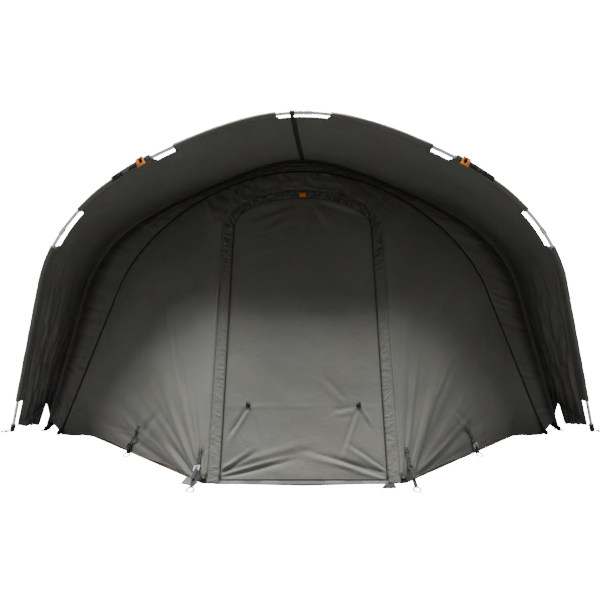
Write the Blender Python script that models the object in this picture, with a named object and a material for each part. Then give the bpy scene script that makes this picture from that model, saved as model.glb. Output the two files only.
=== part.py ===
"""Fishing bivvy: a hooped fabric shelter with a peaked front hood and a zipped front wall.

Units are metres and +Z is up. +X runs to the right as seen from in front of the door, and
+Y runs from the door towards the rear. The origin lies on the ground midway between the
feet of the front rib.
"""
import math

import bmesh
import bpy
from mathutils import Matrix, Vector

# Ribs: half width between the feet, Y of the feet, Y and Z of the crown of the centre line,
# knee as shares of the half width and of the height, and how far the cloth's pull lowers the
# shoulders, as a share of the height
FRONT_RIB = dict(half_width=1.522, foot_y=0.0, crown_y=-0.554, crown_z=1.55, knee=(0.8275, 0.51), droop=0.015)
MAIN_RIB = dict(half_width=1.352, foot_y=0.052, crown_y=0.12, crown_z=1.423, knee=(0.85, 0.51), droop=0.04)
REAR_RIB = dict(half_width=1.295, foot_y=0.31, crown_y=1.02, crown_z=1.2, knee=(0.847, 0.51), droop=0.025)
ZIP_ARCH = dict(half_width=1.251, foot_y=-0.057, crown_y=0.04, crown_z=1.355, knee=(0.76, 0.55), droop=0.0)
ARCH_FULLNESS = 0.55
DROOP_SKEW = 1.5

# Tubes and fabric
POLE_RADIUS = 0.008
SLEEVE_RADIUS = 0.0145
BORE_RADIUS = 0.0095
ZIP_CORD_RADIUS = 0.006
ZIP_SIDES = 6
FABRIC = 0.004
GAP = 0.0004
CORD_GAP = 0.0008
STRAP_GAP = 0.0011
SEAM = 0.0001
TUBE_SIDES = 8
RIB_SLEEVE_SIDES = 12

# Stations along an arch: 0 at a foot, 0.5 at the knee, 1 at the crown
SLEEVE_FOOT = 0.083
LOWER_CUT = (0.572, 0.650)
UPPER_CUT = (0.788, 0.822)
TOP_CUT = (0.964, 1.036)
FIRST_STATION = 0.004
NEAR = 0.001
CUT_DEPTH = 0.058
CUT_EDGE = 0.03

# Saddle of the fabric between two ribs, at mid span over the crown
HOOD_SADDLE = 0.016
BODY_SADDLE = 0.02

# Door, in the plane that leans from the sill to the zip arch
SILL = Vector((0.0, -0.93, 0.0))
DOOR_HALF_WIDTH = 0.34
DOOR_SPRING = 1.30
DOOR_TOP = 1.49
DOOR_FOOT = 0.034
STRIP_WIDTH = 0.052
STRIP_FOOT = 0.03

# Ground line of the front wall, right half, from the zip arch to the door corner
WALL_START = Vector((1.236, -0.07, 0.0))
WALL_BEND = Vector((1.07, -0.12, 0.0))
WALL_CORNER = Vector((0.404, -0.912, 0.0))
CORNER_RADIUS = 0.035
HEM_HEIGHT = 0.005
HEM_LIFT = 0.012

# Ground line of the rear, right half, from the rear rib's foot to the middle of the back
REAR_GROUND = ((1.325, 0.36), (1.30, 0.78), (1.13, 1.25), (0.80, 1.66), (0.40, 1.89), (0.0, 1.95))

# Stations of the zip arch that face each knot of the front wall's inner edge
WALL_ANCHORS = (
    (0.004, 0.0),
    (0.083, 0.6),
    (0.18, 1.0),
    (0.5, 2.0),
    (0.724, 3.0),
    (0.762, 4.0),
    (1.0, 5.0),
)
WALL_CLEAR = 0.0065

# Stations of the rear rib that face each peg of the rear ground line
REAR_PEG_STATIONS = (0.004, 0.29, 0.5, 0.687, 0.822, 1.0)
SIDE_GROUND = ((1.315, 0.08), (1.265, 0.3))

# The band's outer edge starts this much higher up the main rib, and meets it level further up
BAND_RAISE = 0.058
BAND_RAISE_END = 0.29

# Groundsheet
SHEET_THICKNESS = 0.004
SHEET_INSET = 0.0045
SHEET_RIM = 0.02
SHEET_CORNER = (2.3, 2.2, 2.1, 2.0)
SHEET_SIDE = (1.75, 1.5, 1.25, 1.0)

# Pole fittings
FERRULE_RADIUS = 0.0105
CAP_RADIUS = 0.0135
CAP_HEIGHT = 0.045
CAP_SIDES = 10
FOOT_FLOOR = 0.014

# Trim
STRIP_THICKNESS = 0.006
DOOR_STEPS = 16
WEBBING = 0.0025
WEBBING_HALF = 0.0125
BUCKLE_STATION = 0.772
BUCKLE_LIFT = 0.0131
WEBBING_LIFT = 0.014
BUCKLE_SIZE = (0.038, 0.036, 0.014)
WEBBING_STATIONS = (0.730, 0.764)
TOGGLE_PLACE = (0.235, 0.358)
TOGGLE_SIZE = (0.014, 0.03, 0.012)
TAB_HEIGHT = 1.505
TAB_SIZE = (0.034, 0.026, 0.0025)
CENTRE_STRAP = (0.05, 0.93)
RING_RADIUS = 0.02
RING_THICKNESS = 0.005
RING_BORE = 0.0145
RING_SIDES = 16
CORNER_STRAP = ((0.70, 0.89, 0.0043), (0.60, 0.94, 0.0111))
CORNER_RING = (0.448, -0.972)
SIDE_STRAP = ((0.40, 0.78, 0.0038), (0.335, 0.94, 0.006))
SIDE_RING = (0.815, -0.46)

DOOR_UP = (Vector((0.0, ZIP_ARCH["crown_y"], ZIP_ARCH["crown_z"])) - SILL).normalized()
DOOR_OUT = Vector((0.0, -DOOR_UP.z, DOOR_UP.y))
HEM = Vector((0.0, 0.0, 1.0))


def clear_scene():
    """Remove every object that the start-up file holds."""
    for item in list(bpy.data.objects):
        bpy.data.objects.remove(item, do_unlink=True)


def material(name, colour, roughness, metallic=0.0):
    """Return a Principled material of one colour."""
    found = bpy.data.materials.get(name)
    if found:
        return found
    made = bpy.data.materials.new(name)
    made.use_nodes = True
    shader = made.node_tree.nodes["Principled BSDF"]
    shader.inputs["Base Color"].default_value = (*colour, 1.0)
    shader.inputs["Roughness"].default_value = roughness
    shader.inputs["Metallic"].default_value = metallic
    made.diffuse_color = (*colour, 1.0)
    return made


def fabric_material():
    return material("tent_fabric", (0.055, 0.055, 0.05), 0.75)


def pole_material():
    return material("pole_alloy", (0.62, 0.63, 0.64), 0.35, 0.9)


def groundsheet_material():
    return material("groundsheet_cloth", (0.14, 0.11, 0.08), 0.7)


def webbing_material():
    return material("black_webbing", (0.012, 0.012, 0.014), 0.8)


def plastic_material():
    return material("black_plastic", (0.015, 0.015, 0.017), 0.45)


def orange_material():
    return material("orange_plastic", (0.75, 0.2, 0.02), 0.45)


def add_piece(name, mesh, finish, smooth=False):
    """Turn a bmesh into one named object with one material."""
    bmesh.ops.recalc_face_normals(mesh, faces=mesh.faces)
    data = bpy.data.meshes.new(name)
    mesh.to_mesh(data)
    mesh.free()
    data.materials.append(finish)
    if smooth:
        data.shade_smooth()
        data.set_sharp_from_angle(angle=math.radians(40))
    piece = bpy.data.objects.new(name, data)
    bpy.context.collection.objects.link(piece)
    return piece


class Arch:
    """Centre line of an arch: straight legs and a rounded top, all in one leaning plane."""

    def __init__(self, half_width, foot_y, crown_y, crown_z, knee, droop):
        self.half_width = half_width
        self.droop = Vector((0.0, droop))
        self.foot_y = foot_y
        self.lean = Vector((0.0, crown_y - foot_y, crown_z))
        self.knee = Vector((half_width * knee[0], knee[1]))

    def half_profile(self, station):
        """X and share of the height at a station from 0, the foot, to 1, the crown."""
        foot = Vector((self.half_width, 0.0))
        if station <= 0.5:
            return foot.lerp(self.knee, station / 0.5)
        leg = self.knee - foot
        meet = foot + leg / leg.y
        crown = Vector((0.0, 1.0))
        first = self.knee.lerp(meet, ARCH_FULLNESS)
        second = crown.lerp(meet, ARCH_FULLNESS)
        b = (station - 0.5) / 0.5
        a = 1.0 - b
        full = a**3 * self.knee + 3 * a * a * b * first + 3 * a * b * b * second + b**3 * crown
        return full - self.droop * math.sin(math.pi * b**DROOP_SKEW) ** 2

    def point(self, q):
        """Point at q, from -1 at the left foot through 0 at the crown to 1 at the right."""
        x, share = self.half_profile(1.0 - abs(q))
        side = -1.0 if q < 0.0 else 1.0
        return Vector((side * x, self.foot_y, 0.0)) + self.lean * share

    def tangent(self, q):
        step = 0.0005
        before = self.point(max(q - step, -1.0))
        after = self.point(min(q + step, 1.0))
        return (after - before).normalized()

    def plane_normal(self):
        return Vector((0.0, -self.lean.z, self.lean.y)).normalized()


FRONT = Arch(**FRONT_RIB)
MAIN = Arch(**MAIN_RIB)
REAR = Arch(**REAR_RIB)
ZIP = Arch(**ZIP_ARCH)


def cut_stations(cut):
    """Stations that shape one scalloped cut-out: its ends, its shoulders and its middle."""
    start, end = cut
    third = (end - start) / 3.0
    return [start, start + third, (start + end) / 2.0, end - third, end]


def half_stations():
    """Stations from the foot to the crown that every rib and panel shares."""
    leg = [FIRST_STATION, SLEEVE_FOOT, 0.18, 0.29, 0.4, 0.5]
    knee = [0.536]
    shoulder = [0.687, 0.724, 0.762]
    crown = [0.877, 0.92]
    top = cut_stations(TOP_CUT)[:3]
    return leg + knee + cut_stations(LOWER_CUT) + shoulder + cut_stations(UPPER_CUT) + crown + top


def all_stations():
    """Values of q from the left foot to the right foot."""
    half = half_stations()
    left = [station - 1.0 for station in half]
    right = [1.0 - station for station in reversed(half[:-1])]
    return left + right


def stations_between(start, end):
    """Shared stations from start to end, drawn in a hair at both ends for the seams."""
    inner = [q for q in all_stations() if start + NEAR < q < end - NEAR]
    return [start + SEAM] + inner + [end - SEAM]


def across(direction, tangent):
    """The part of a direction that is square to a tangent, as a unit vector."""
    return (direction - tangent * direction.dot(tangent)).normalized()


def section_line(near, near_tangent, far, far_tangent, near_clear, far_clear, shares, saddle=0.0):
    """Points and normals of one line of cloth between two edges, at the given shares."""
    span = far - near
    near_way = across(span, near_tangent)
    far_way = across(span, far_tangent)
    start = near + near_way * near_clear
    end = far - far_way * far_clear
    near_normal = near_tangent.cross(near_way)
    far_normal = far_tangent.cross(far_way)
    line = []
    for share in shares:
        normal = near_normal.lerp(far_normal, share).normalized()
        point = start.lerp(end, share) - normal * saddle * 4.0 * share * (1.0 - share)
        line.append((point, normal))
    return line


def even_shares(columns):
    return [column / columns for column in range(columns + 1)]


def saddle_at(q, depth):
    """Depth of the saddle, none at the feet and full over the crown."""
    return depth * math.cos(q * math.pi / 2.0) ** 2


def add_quads(mesh, first, second, closed=False):
    """Join two rows of vertices with quads."""
    count = len(first)
    last = count if closed else count - 1
    for index in range(last):
        after = (index + 1) % count
        mesh.faces.new((first[index], first[after], second[after], second[index]))


def sheet_mesh(lines, thickness=FABRIC):
    """Closed sheet from lines of points and normals, half its thickness either side."""
    mesh = bmesh.new()
    upper = [[mesh.verts.new(p + n * thickness / 2) for p, n in line] for line in lines]
    lower = [[mesh.verts.new(p - n * thickness / 2) for p, n in line] for line in lines]
    for rows in (upper, lower):
        for first, second in zip(rows, rows[1:]):
            add_quads(mesh, first, second)
    for edge in (0, -1):
        add_quads(mesh, [row[edge] for row in upper], [row[edge] for row in lower])
        add_quads(mesh, upper[edge], lower[edge])
    return mesh


def tube_mesh(rings, bores=None):
    """Closed tube through rings of vertices, with an open bore where bores are given."""
    mesh = bmesh.new()
    outer = [[mesh.verts.new(point) for point in ring] for ring in rings]
    for first, second in zip(outer, outer[1:]):
        add_quads(mesh, first, second, closed=True)
    if bores is None:
        mesh.faces.new(outer[0])
        mesh.faces.new(outer[-1])
        return mesh
    inner = [[mesh.verts.new(point) for point in ring] for ring in bores]
    for first, second in zip(inner, inner[1:]):
        add_quads(mesh, first, second, closed=True)
    for end in (0, -1):
        add_quads(mesh, outer[end], inner[end], closed=True)
    return mesh


def ring_points(centre, along, up, radius, sides=TUBE_SIDES, turn=0.0):
    """Points of a round section in the plane of two unit vectors, turned by part of a side."""
    points = []
    for side in range(sides):
        angle = 2.0 * math.pi * (side + turn) / sides
        points.append(centre + (along * math.cos(angle) + up * math.sin(angle)) * radius)
    return points


def pole_rings(arch, stations, radius, sides=TUBE_SIDES):
    """Rings of a round tube that follows an arch."""
    normal = arch.plane_normal()
    rings = []
    for q in stations:
        inward = normal.cross(arch.tangent(q))
        rings.append(ring_points(arch.point(q), normal, inward, radius, sides))
    return rings


def in_cut(station):
    """Whether a station lies where the front sleeve is cut away."""
    if station < SLEEVE_FOOT:
        return True
    return any(start < station < end for start, end in (LOWER_CUT, UPPER_CUT, TOP_CUT))


def front_setback(station):
    """Distance of the hood's cloth edge from the front pole's centre line."""
    if station < SLEEVE_FOOT:
        return CUT_EDGE + 0.01 * (1.0 - station / SLEEVE_FOOT)
    for start, end in (LOWER_CUT, UPPER_CUT, TOP_CUT):
        if start < station < end:
            share = (station - start) / (end - start)
            return CUT_EDGE + (CUT_DEPTH - CUT_EDGE) * math.sin(math.pi * share) ** 0.2
    return CUT_EDGE


def hood_section(q):
    """Cloth line, sleeve ring and bore ring of the hood at one station."""
    near, far = FRONT.point(q), MAIN.point(q)
    tangent, far_tangent = FRONT.tangent(q), MAIN.tangent(q)
    way = across(far - near, tangent)
    up = tangent.cross(way)
    setback = front_setback(1.0 - abs(q))
    line = section_line(near, tangent, far, far_tangent, setback, SLEEVE_RADIUS + GAP,
                        even_shares(3), saddle_at(q, HOOD_SADDLE))
    first = math.asin(FABRIC / 2 / SLEEVE_RADIUS)
    turn = 2.0 * math.pi - 2.0 * first
    ring, bore = [], []
    for side in range(TUBE_SIDES):
        angle = first + turn * side / (TUBE_SIDES - 1)
        way_out = way * math.cos(angle) + up * math.sin(angle)
        ring.append(near + way_out * SLEEVE_RADIUS)
        bore.append(near + way_out * BORE_RADIUS)
    return line, ring, bore


def hood_gore(name, start, end):
    """One gore of the hood, with its stretch of the sleeve round the front pole."""
    stations = stations_between(start, end)
    mesh = bmesh.new()
    upper, lower, rings, bores = [], [], [], []
    for q in stations:
        line, ring, bore = hood_section(q)
        upper.append([mesh.verts.new(p + n * FABRIC / 2) for p, n in line])
        lower.append([mesh.verts.new(p - n * FABRIC / 2) for p, n in line])
        rings.append(ring)
        bores.append(bore)
    sleeved = [not in_cut(1.0 - abs((a + b) / 2)) for a, b in zip(stations, stations[1:])]
    outer, inner = {}, {}
    for index, inside in enumerate(sleeved):
        for spot in (index, index + 1):
            if inside and spot not in outer:
                outer[spot] = [mesh.verts.new(point) for point in rings[spot]]
                inner[spot] = [mesh.verts.new(point) for point in bores[spot]]
    for index, inside in enumerate(sleeved):
        after = index + 1
        for rows in (upper, lower):
            add_quads(mesh, rows[index], rows[after])
        add_quads(mesh, [upper[index][-1], lower[index][-1]], [upper[after][-1], lower[after][-1]])
        if not inside:
            add_quads(mesh, [upper[index][0], lower[index][0]], [upper[after][0], lower[after][0]])
            continue
        add_quads(mesh, outer[index], outer[after])
        add_quads(mesh, inner[index], inner[after], closed=True)
        add_quads(mesh, [outer[index][0], upper[index][0]], [outer[after][0], upper[after][0]])
        add_quads(mesh, [outer[index][-1], lower[index][0]], [outer[after][-1], lower[after][0]])
    for spot in outer:
        before = spot > 0 and sleeved[spot - 1]
        following = spot < len(sleeved) and sleeved[spot]
        if before != following:
            add_quads(mesh, outer[spot], inner[spot], closed=True)
            mesh.faces.new((outer[spot][0], upper[spot][0], lower[spot][0], outer[spot][-1]))
    for spot in (0, len(stations) - 1):
        add_quads(mesh, upper[spot], lower[spot])
    add_piece(name, mesh, fabric_material(), smooth=True)


def mid(cut):
    return (cut[0] + cut[1]) / 2


def build_hood():
    """Right-hand gores of the hood, parted where the sleeve is cut away."""
    lower, upper = 1.0 - mid(LOWER_CUT), 1.0 - mid(UPPER_CUT)
    foot = 1.0 - FIRST_STATION
    hood_gore("hood_right_crown", 0.0, upper)
    hood_gore("hood_right_shoulder", upper, lower)
    hood_gore("hood_right_side", lower, foot)


def leg_station(arch, height):
    """Station at a distance up the straight leg."""
    leg = (arch.point(0.5) - arch.point(1.0)).length
    return 0.5 * height / leg


def pole_stations(arch, start, end):
    """Shared stations of a pole, with its foot end seated in the foot cap."""
    foot = 1.0 - leg_station(arch, FOOT_FLOOR + GAP)
    first = -foot if start < -foot else start + SEAM
    last = foot if end > foot else end - SEAM
    inner = [q for q in all_stations() if first + NEAR < q < last - NEAR]
    return [first] + inner + [last]


def front_pole_section(name, start, end, ferrule):
    """One length of the front pole, with the swaged ferrule that joins it to the next."""
    low, high = ferrule
    normal = FRONT.plane_normal()
    spots = []
    for q in pole_stations(FRONT, start, end):
        if q == low:
            spots += [(q, POLE_RADIUS), (q, FERRULE_RADIUS)]
        elif q == high:
            spots += [(q, FERRULE_RADIUS), (q, POLE_RADIUS)]
        elif low < q < high:
            spots.append((q, FERRULE_RADIUS))
        else:
            spots.append((q, POLE_RADIUS))
    rings = []
    for q, radius in spots:
        inward = normal.cross(FRONT.tangent(q))
        rings.append(ring_points(FRONT.point(q), normal, inward, radius))
    add_piece(name, tube_mesh(rings), pole_material(), smooth=True)


def build_front_pole():
    """Right-hand lengths of alloy pole, with a ferrule at the shoulder and at the crown."""
    joint = 1.0 - mid(LOWER_CUT)
    near_foot = 1.0 - cut_stations(LOWER_CUT)[1]
    crown_collar = 1.0 - cut_stations(TOP_CUT)[1]
    front_pole_section("front_pole_right", 0.0, joint, (0.0, crown_collar))
    front_pole_section("front_pole_right_leg", joint, 1.0, (joint, near_foot))


def foot_cap(name, arch):
    """Plastic cap with a socket for the pole, cut flat where it stands on the ground."""
    foot = arch.point(1.0)
    up = (arch.point(0.9) - foot).normalized()
    normal = arch.plane_normal()
    inward = normal.cross(up)

    def ring(height, radius):
        return ring_points(foot + up * height, normal, inward, radius, CAP_SIDES)

    base = []
    for point in ring(0.0, CAP_RADIUS):
        base.append(point - up * (point.z / up.z))
    socket = (POLE_RADIUS + GAP) / math.cos(math.pi / CAP_SIDES)
    rings = [base, ring(CAP_HEIGHT, CAP_RADIUS), ring(CAP_HEIGHT, socket), ring(FOOT_FLOOR, socket)]
    add_piece(name, tube_mesh(rings), plastic_material(), smooth=True)


def build_feet():
    for rib, arch in (("front", FRONT), ("main", MAIN), ("rear", REAR)):
        foot_cap(rib + "_foot_right", arch)


def sleeve_stations():
    return [q for q in all_stations() if abs(q) <= 1.0 - SLEEVE_FOOT + 1e-6]


def build_sleeved_rib(name, arch):
    """Pole of a rib, and the fabric sleeve that runs round it between the feet."""
    rings = pole_rings(arch, pole_stations(arch, -1.0, 1.0), POLE_RADIUS)
    add_piece(name + "_pole", tube_mesh(rings), pole_material(), smooth=True)
    bore = (POLE_RADIUS + GAP) / math.cos(math.pi / RIB_SLEEVE_SIDES)
    outer = pole_rings(arch, sleeve_stations(), SLEEVE_RADIUS, RIB_SLEEVE_SIDES)
    inner = pole_rings(arch, sleeve_stations(), bore, RIB_SLEEVE_SIDES)
    add_piece(name + "_sleeve", tube_mesh(outer, inner), fabric_material(), smooth=True)


def build_ribs():
    """Main rib, where hood, band and body meet, and rear rib, where body and rear meet."""
    build_sleeved_rib("main", MAIN)
    build_sleeved_rib("rear", REAR)


def panel(name, stations, line_at, smooth=True, finish=None, thickness=FABRIC):
    """One sheet of cloth through the lines at its stations."""
    lines = [line_at(q) for q in stations]
    mesh = sheet_mesh(lines, thickness)
    add_piece(name, mesh, finish or fabric_material(), smooth=smooth)


def band_main_q(q):
    """Station on the main rib of the band's outer edge, which starts above the ground."""
    station = 1.0 - abs(q)
    raised = station + BAND_RAISE * max(0.0, 1.0 - station / BAND_RAISE_END)
    return math.copysign(1.0 - raised, q)


def band_line(q):
    main_q = band_main_q(q)
    return section_line(MAIN.point(main_q), MAIN.tangent(main_q), ZIP.point(q), ZIP.tangent(q),
                        SLEEVE_RADIUS + GAP, ZIP_CORD_RADIUS + GAP, even_shares(1))


def build_band():
    """Fixed band between the main rib and the arched zip of the front wall."""
    knee, foot = 0.5, 1.0 - FIRST_STATION
    panel("front_band_top", stations_between(-knee, knee), band_line)
    panel("front_band_right", stations_between(knee, foot), band_line)


def build_zip_arch():
    """Corded zip that joins the front wall to the fixed band."""
    rings = pole_rings(ZIP, all_stations(), ZIP_CORD_RADIUS, ZIP_SIDES)
    add_piece("front_zip_arch", tube_mesh(rings), webbing_material(), smooth=True)


def door_point(x, height):
    """Point of the door's plane at x and a distance up its slope."""
    return SILL + Vector((x, 0.0, 0.0)) + DOOR_UP * height


def arch_outline(half_width, rise, foot, steps):
    """Door outline: up one side, round the top and down the other, as x and height."""
    outline = [(half_width, foot)]
    for step in range(steps + 1):
        angle = math.pi * step / steps
        outline.append((half_width * math.cos(angle), DOOR_SPRING + rise * math.sin(angle)))
    outline.append((-half_width, foot))
    return outline


def extruded(points, normal, thickness):
    """Closed plate from an outline, with its thickness along the normal."""
    mesh = bmesh.new()
    front = [mesh.verts.new(point + normal * thickness / 2) for point in points]
    back = [mesh.verts.new(point - normal * thickness / 2) for point in points]
    add_quads(mesh, front, back, closed=True)
    mesh.faces.new(front)
    mesh.faces.new(back)
    return mesh


def build_door():
    """Zipped door panel, and the gathered strip that frames its zip."""
    rise = DOOR_TOP - DOOR_SPRING
    outline = arch_outline(DOOR_HALF_WIDTH, rise, DOOR_FOOT, DOOR_STEPS)
    points = [door_point(x, height) for x, height in outline]
    add_piece("door_panel", extruded(points, DOOR_OUT, FABRIC), fabric_material())
    inner = arch_outline(DOOR_HALF_WIDTH + GAP, rise + GAP, STRIP_FOOT, DOOR_STEPS)
    outer = arch_outline(DOOR_HALF_WIDTH + STRIP_WIDTH, rise + STRIP_WIDTH, STRIP_FOOT, DOOR_STEPS)
    lines = []
    for near, far in zip(inner, outer):
        lines.append([(door_point(*near), DOOR_OUT), (door_point(*far), DOOR_OUT)])
    add_piece("door_strip", sheet_mesh(lines, STRIP_THICKNESS), fabric_material())


def curve_point(a, b, c, share):
    """Point of a quadratic curve from a to c that bends towards b."""
    return a * (1 - share) ** 2 + b * 2 * share * (1 - share) + c * share**2


def wall_path(position):
    """Inner edge of the right front wall: 0 to 2 ground, 2 to 3 corner, 3 to 4 strip, 4 to 5 top."""
    along = (WALL_CORNER - WALL_BEND).normalized()
    side = DOOR_HALF_WIDTH + STRIP_WIDTH + WALL_CLEAR
    before = WALL_CORNER - along * CORNER_RADIUS
    after = door_point(side, CORNER_RADIUS + STRIP_FOOT)
    corner = door_point(side, STRIP_FOOT)
    if position <= 1.0:
        point = WALL_START.lerp(WALL_BEND, position)
        return point + HEM * hem_height(0.0)
    if position <= 2.0:
        point = WALL_BEND.lerp(before, position - 1.0)
        return point + HEM * hem_height(position - 1.0)
    if position <= 3.0:
        low = before + HEM * hem_height(0.0)
        return curve_point(low, corner, after, position - 2.0)
    if position <= 4.0:
        return after.lerp(door_point(side, DOOR_SPRING), position - 3.0)
    angle = (position - 4.0) * math.pi / 2
    rise = DOOR_TOP - DOOR_SPRING + STRIP_WIDTH + WALL_CLEAR
    return door_point(side * math.cos(angle), DOOR_SPRING + rise * math.sin(angle))


def hem_height(share):
    """Height of a hem between its pegs, which hold it down at each end and at the middle."""
    return HEM_HEIGHT + HEM_LIFT * abs(math.sin(2.0 * math.pi * share))


def wall_position(station):
    """Place on the inner edge that faces a station of the zip arch."""
    for (first, start), (last, end) in zip(WALL_ANCHORS, WALL_ANCHORS[1:]):
        if station <= last:
            return start + (end - start) * (station - first) / (last - first)
    return WALL_ANCHORS[-1][1]


def wall_edge(q):
    """Point of the front wall's inner edge that faces a station of the zip arch."""
    point = wall_path(wall_position(1.0 - abs(q)))
    return Vector((math.copysign(point.x, q), point.y, point.z))


def wall_edge_tangent(q):
    step = 0.002
    return (wall_edge(min(q + step, 1.0)) - wall_edge(max(q - step, -1.0))).normalized()


def wall_section(q, shares):
    """Line of cloth from the zip arch to the front wall's inner edge."""
    return section_line(ZIP.point(q), ZIP.tangent(q), wall_edge(q), wall_edge_tangent(q),
                        ZIP_CORD_RADIUS + CORD_GAP, 0.0, shares)


def wall_line(q):
    return wall_section(q, even_shares(4))


def header_line(q):
    return wall_section(q, even_shares(1))


def build_front_wall():
    """Front wall either side of the door, and the header over it."""
    head = 1.0 - WALL_ANCHORS[-2][0]
    foot = 1.0 - FIRST_STATION
    panel("front_wall_right", stations_between(head, foot), wall_line)
    panel("door_header", stations_between(-head, head), header_line)


def body_line(q):
    return section_line(MAIN.point(q), MAIN.tangent(q), REAR.point(q), REAR.tangent(q),
                        SLEEVE_RADIUS + GAP, SLEEVE_RADIUS + GAP, even_shares(3),
                        saddle_at(q, BODY_SADDLE))


def rear_ground(q):
    """Point of the rear hem that faces a station of the rear rib, straight between pegs."""
    station = 1.0 - abs(q)
    x, y = REAR_GROUND[-1]
    for index in range(len(REAR_GROUND) - 1):
        first, last = REAR_PEG_STATIONS[index], REAR_PEG_STATIONS[index + 1]
        if station <= last:
            share = max(0.0, (station - first) / (last - first))
            (x0, y0), (x1, y1) = REAR_GROUND[index], REAR_GROUND[index + 1]
            x, y = x0 + (x1 - x0) * share, y0 + (y1 - y0) * share
            break
    return Vector((math.copysign(x, q), y, HEM_HEIGHT))


def rear_ground_tangent(q):
    step = 0.01
    return (rear_ground(min(q + step, 1.0)) - rear_ground(max(q - step, -1.0))).normalized()


def rear_line(q):
    return section_line(REAR.point(q), REAR.tangent(q), rear_ground(q), rear_ground_tangent(q),
                        SLEEVE_RADIUS + GAP, 0.0, even_shares(4), saddle_at(q, BODY_SADDLE))


def build_body():
    """Body between the main and rear ribs, and the rear down to the ground."""
    knee, foot = 0.5, 1.0 - FIRST_STATION
    panel("body_crown", stations_between(-knee, knee), body_line)
    panel("body_right", stations_between(knee, foot), body_line)
    corner = 1.0 - REAR_PEG_STATIONS[3]
    panel("rear_middle", stations_between(-corner, corner), rear_line)
    panel("rear_right", stations_between(corner, foot), rear_line)


def ground_outline():
    """Right half of the ground line with the wall's lean per metre of height at each point."""
    middle = door_point(0.0, 0.0)
    line = [(Vector((middle.x, middle.y, 0.0)), DOOR_UP / DOOR_UP.z)]
    for position in SHEET_CORNER + SHEET_SIDE:
        q = 1.0 - station_at(position)
        point = wall_edge(q)
        way = ZIP.point(q) - point
        line.append((Vector((point.x, point.y, 0.0)), way / way.z))
    lean = MAIN.point(0.6) - MAIN.point(1.0)
    for x, y in ((WALL_START.x - CORNER_RADIUS, WALL_START.y),) + SIDE_GROUND:
        line.append((Vector((x, y, 0.0)), lean / lean.z))
    for station in REAR_PEG_STATIONS[1:]:
        q = 1.0 - station
        point = rear_ground(q)
        way = REAR.point(q) - point
        line.append((Vector((point.x, point.y, 0.0)), way / way.z))
    return line


def station_at(position):
    """Station of the zip arch that faces a place on the wall's inner edge."""
    for (first, start), (last, end) in zip(WALL_ANCHORS, WALL_ANCHORS[1:]):
        if position <= end:
            return first + (last - first) * (position - start) / (end - start)
    return 1.0


def build_groundsheet():
    """Floor of the tent with an upstanding rim that leans with the walls."""
    right = ground_outline()
    left = [(Vector((-p.x, p.y, 0.0)), Vector((-w.x, w.y, w.z))) for p, w in reversed(right[1:-1])]
    outline = right + left
    mesh = bmesh.new()
    loops = [[], [], [], []]
    count = len(outline)
    for index, (point, way) in enumerate(outline):
        before, after = outline[index - 1][0], outline[(index + 1) % count][0]
        run = ((point - before).normalized() + (after - point).normalized()).normalized()
        inward = Vector((-run.y, run.x, 0.0))
        outer = point + inward * SHEET_INSET
        top = outer + way * SHEET_RIM
        loops[0].append(mesh.verts.new(outer))
        loops[1].append(mesh.verts.new(top))
        loops[2].append(mesh.verts.new(top + inward * SHEET_THICKNESS))
        floor = outer + inward * SHEET_THICKNESS + way * SHEET_THICKNESS
        loops[3].append(mesh.verts.new(floor))
    for first, second in zip(loops, loops[1:]):
        add_quads(mesh, first, second, closed=True)
    mesh.faces.new(loops[0])
    mesh.faces.new(loops[3])
    add_piece("groundsheet", mesh, groundsheet_material())


def ribbon(points, normals, side, half_width, thickness):
    """Closed strip along points, with its width along one direction."""
    lines = []
    for point, normal in zip(points, normals):
        lines.append([(point - side * half_width, normal), (point + side * half_width, normal)])
    return sheet_mesh(lines, thickness)


def hood_front(q):
    """Point on the camera side of the front sleeve, its outward way and the way along it."""
    near, tangent = FRONT.point(q), FRONT.tangent(q)
    way = across(near - MAIN.point(q), tangent)
    return near, way, tangent


def block(centre, along, across_way, out, size):
    """Box of a size along three square directions."""
    mesh = bmesh.new()
    corners = {}
    for i in (-1, 1):
        for j in (-1, 1):
            for k in (-1, 1):
                corner = centre + along * i * size[0] / 2
                corner += across_way * j * size[1] / 2
                corner += out * k * size[2] / 2
                corners[i, j, k] = mesh.verts.new(corner)
    for axis in range(3):
        for end in (-1, 1):
            loop = []
            for first, second in ((-1, -1), (1, -1), (1, 1), (-1, 1)):
                key = [first, second]
                key.insert(axis, end)
                loop.append(corners[tuple(key)])
            mesh.faces.new(loop)
    return mesh


def build_hood_trim():
    """Orange cam buckle and webbing on the front sleeve, and the strap under the crown."""
    near, way, tangent = hood_front(1.0 - BUCKLE_STATION)
    centre = near + way * (BUCKLE_LIFT + BUCKLE_SIZE[2] / 2)
    across_way = way.cross(tangent)
    mesh = block(centre, tangent, across_way, way, BUCKLE_SIZE)
    add_piece("hood_buckle_right", mesh, orange_material())
    points, normals = [], []
    for station in WEBBING_STATIONS:
        spot, out, along = hood_front(1.0 - station)
        points.append(spot + out * (WEBBING_LIFT + WEBBING / 2))
        normals.append(out)
    mesh = ribbon(points, normals, across_way, WEBBING_HALF, WEBBING)
    add_piece("hood_webbing_right", mesh, webbing_material())
    line = hood_section(0.0)[0]
    below = FABRIC / 2 + WEBBING / 2 + STRAP_GAP
    spots = [point for point, normal in line]
    normals = [normal for point, normal in line]
    spots[0] = spots[0].lerp(spots[1], CENTRE_STRAP[0])
    spots[3] = spots[2].lerp(spots[3], CENTRE_STRAP[1])
    points = [point - normal * below for point, normal in zip(spots, normals)]
    mesh = ribbon(points, normals, Vector((1.0, 0.0, 0.0)), WEBBING_HALF, WEBBING)
    add_piece("hood_centre_strap", mesh, webbing_material())


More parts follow.
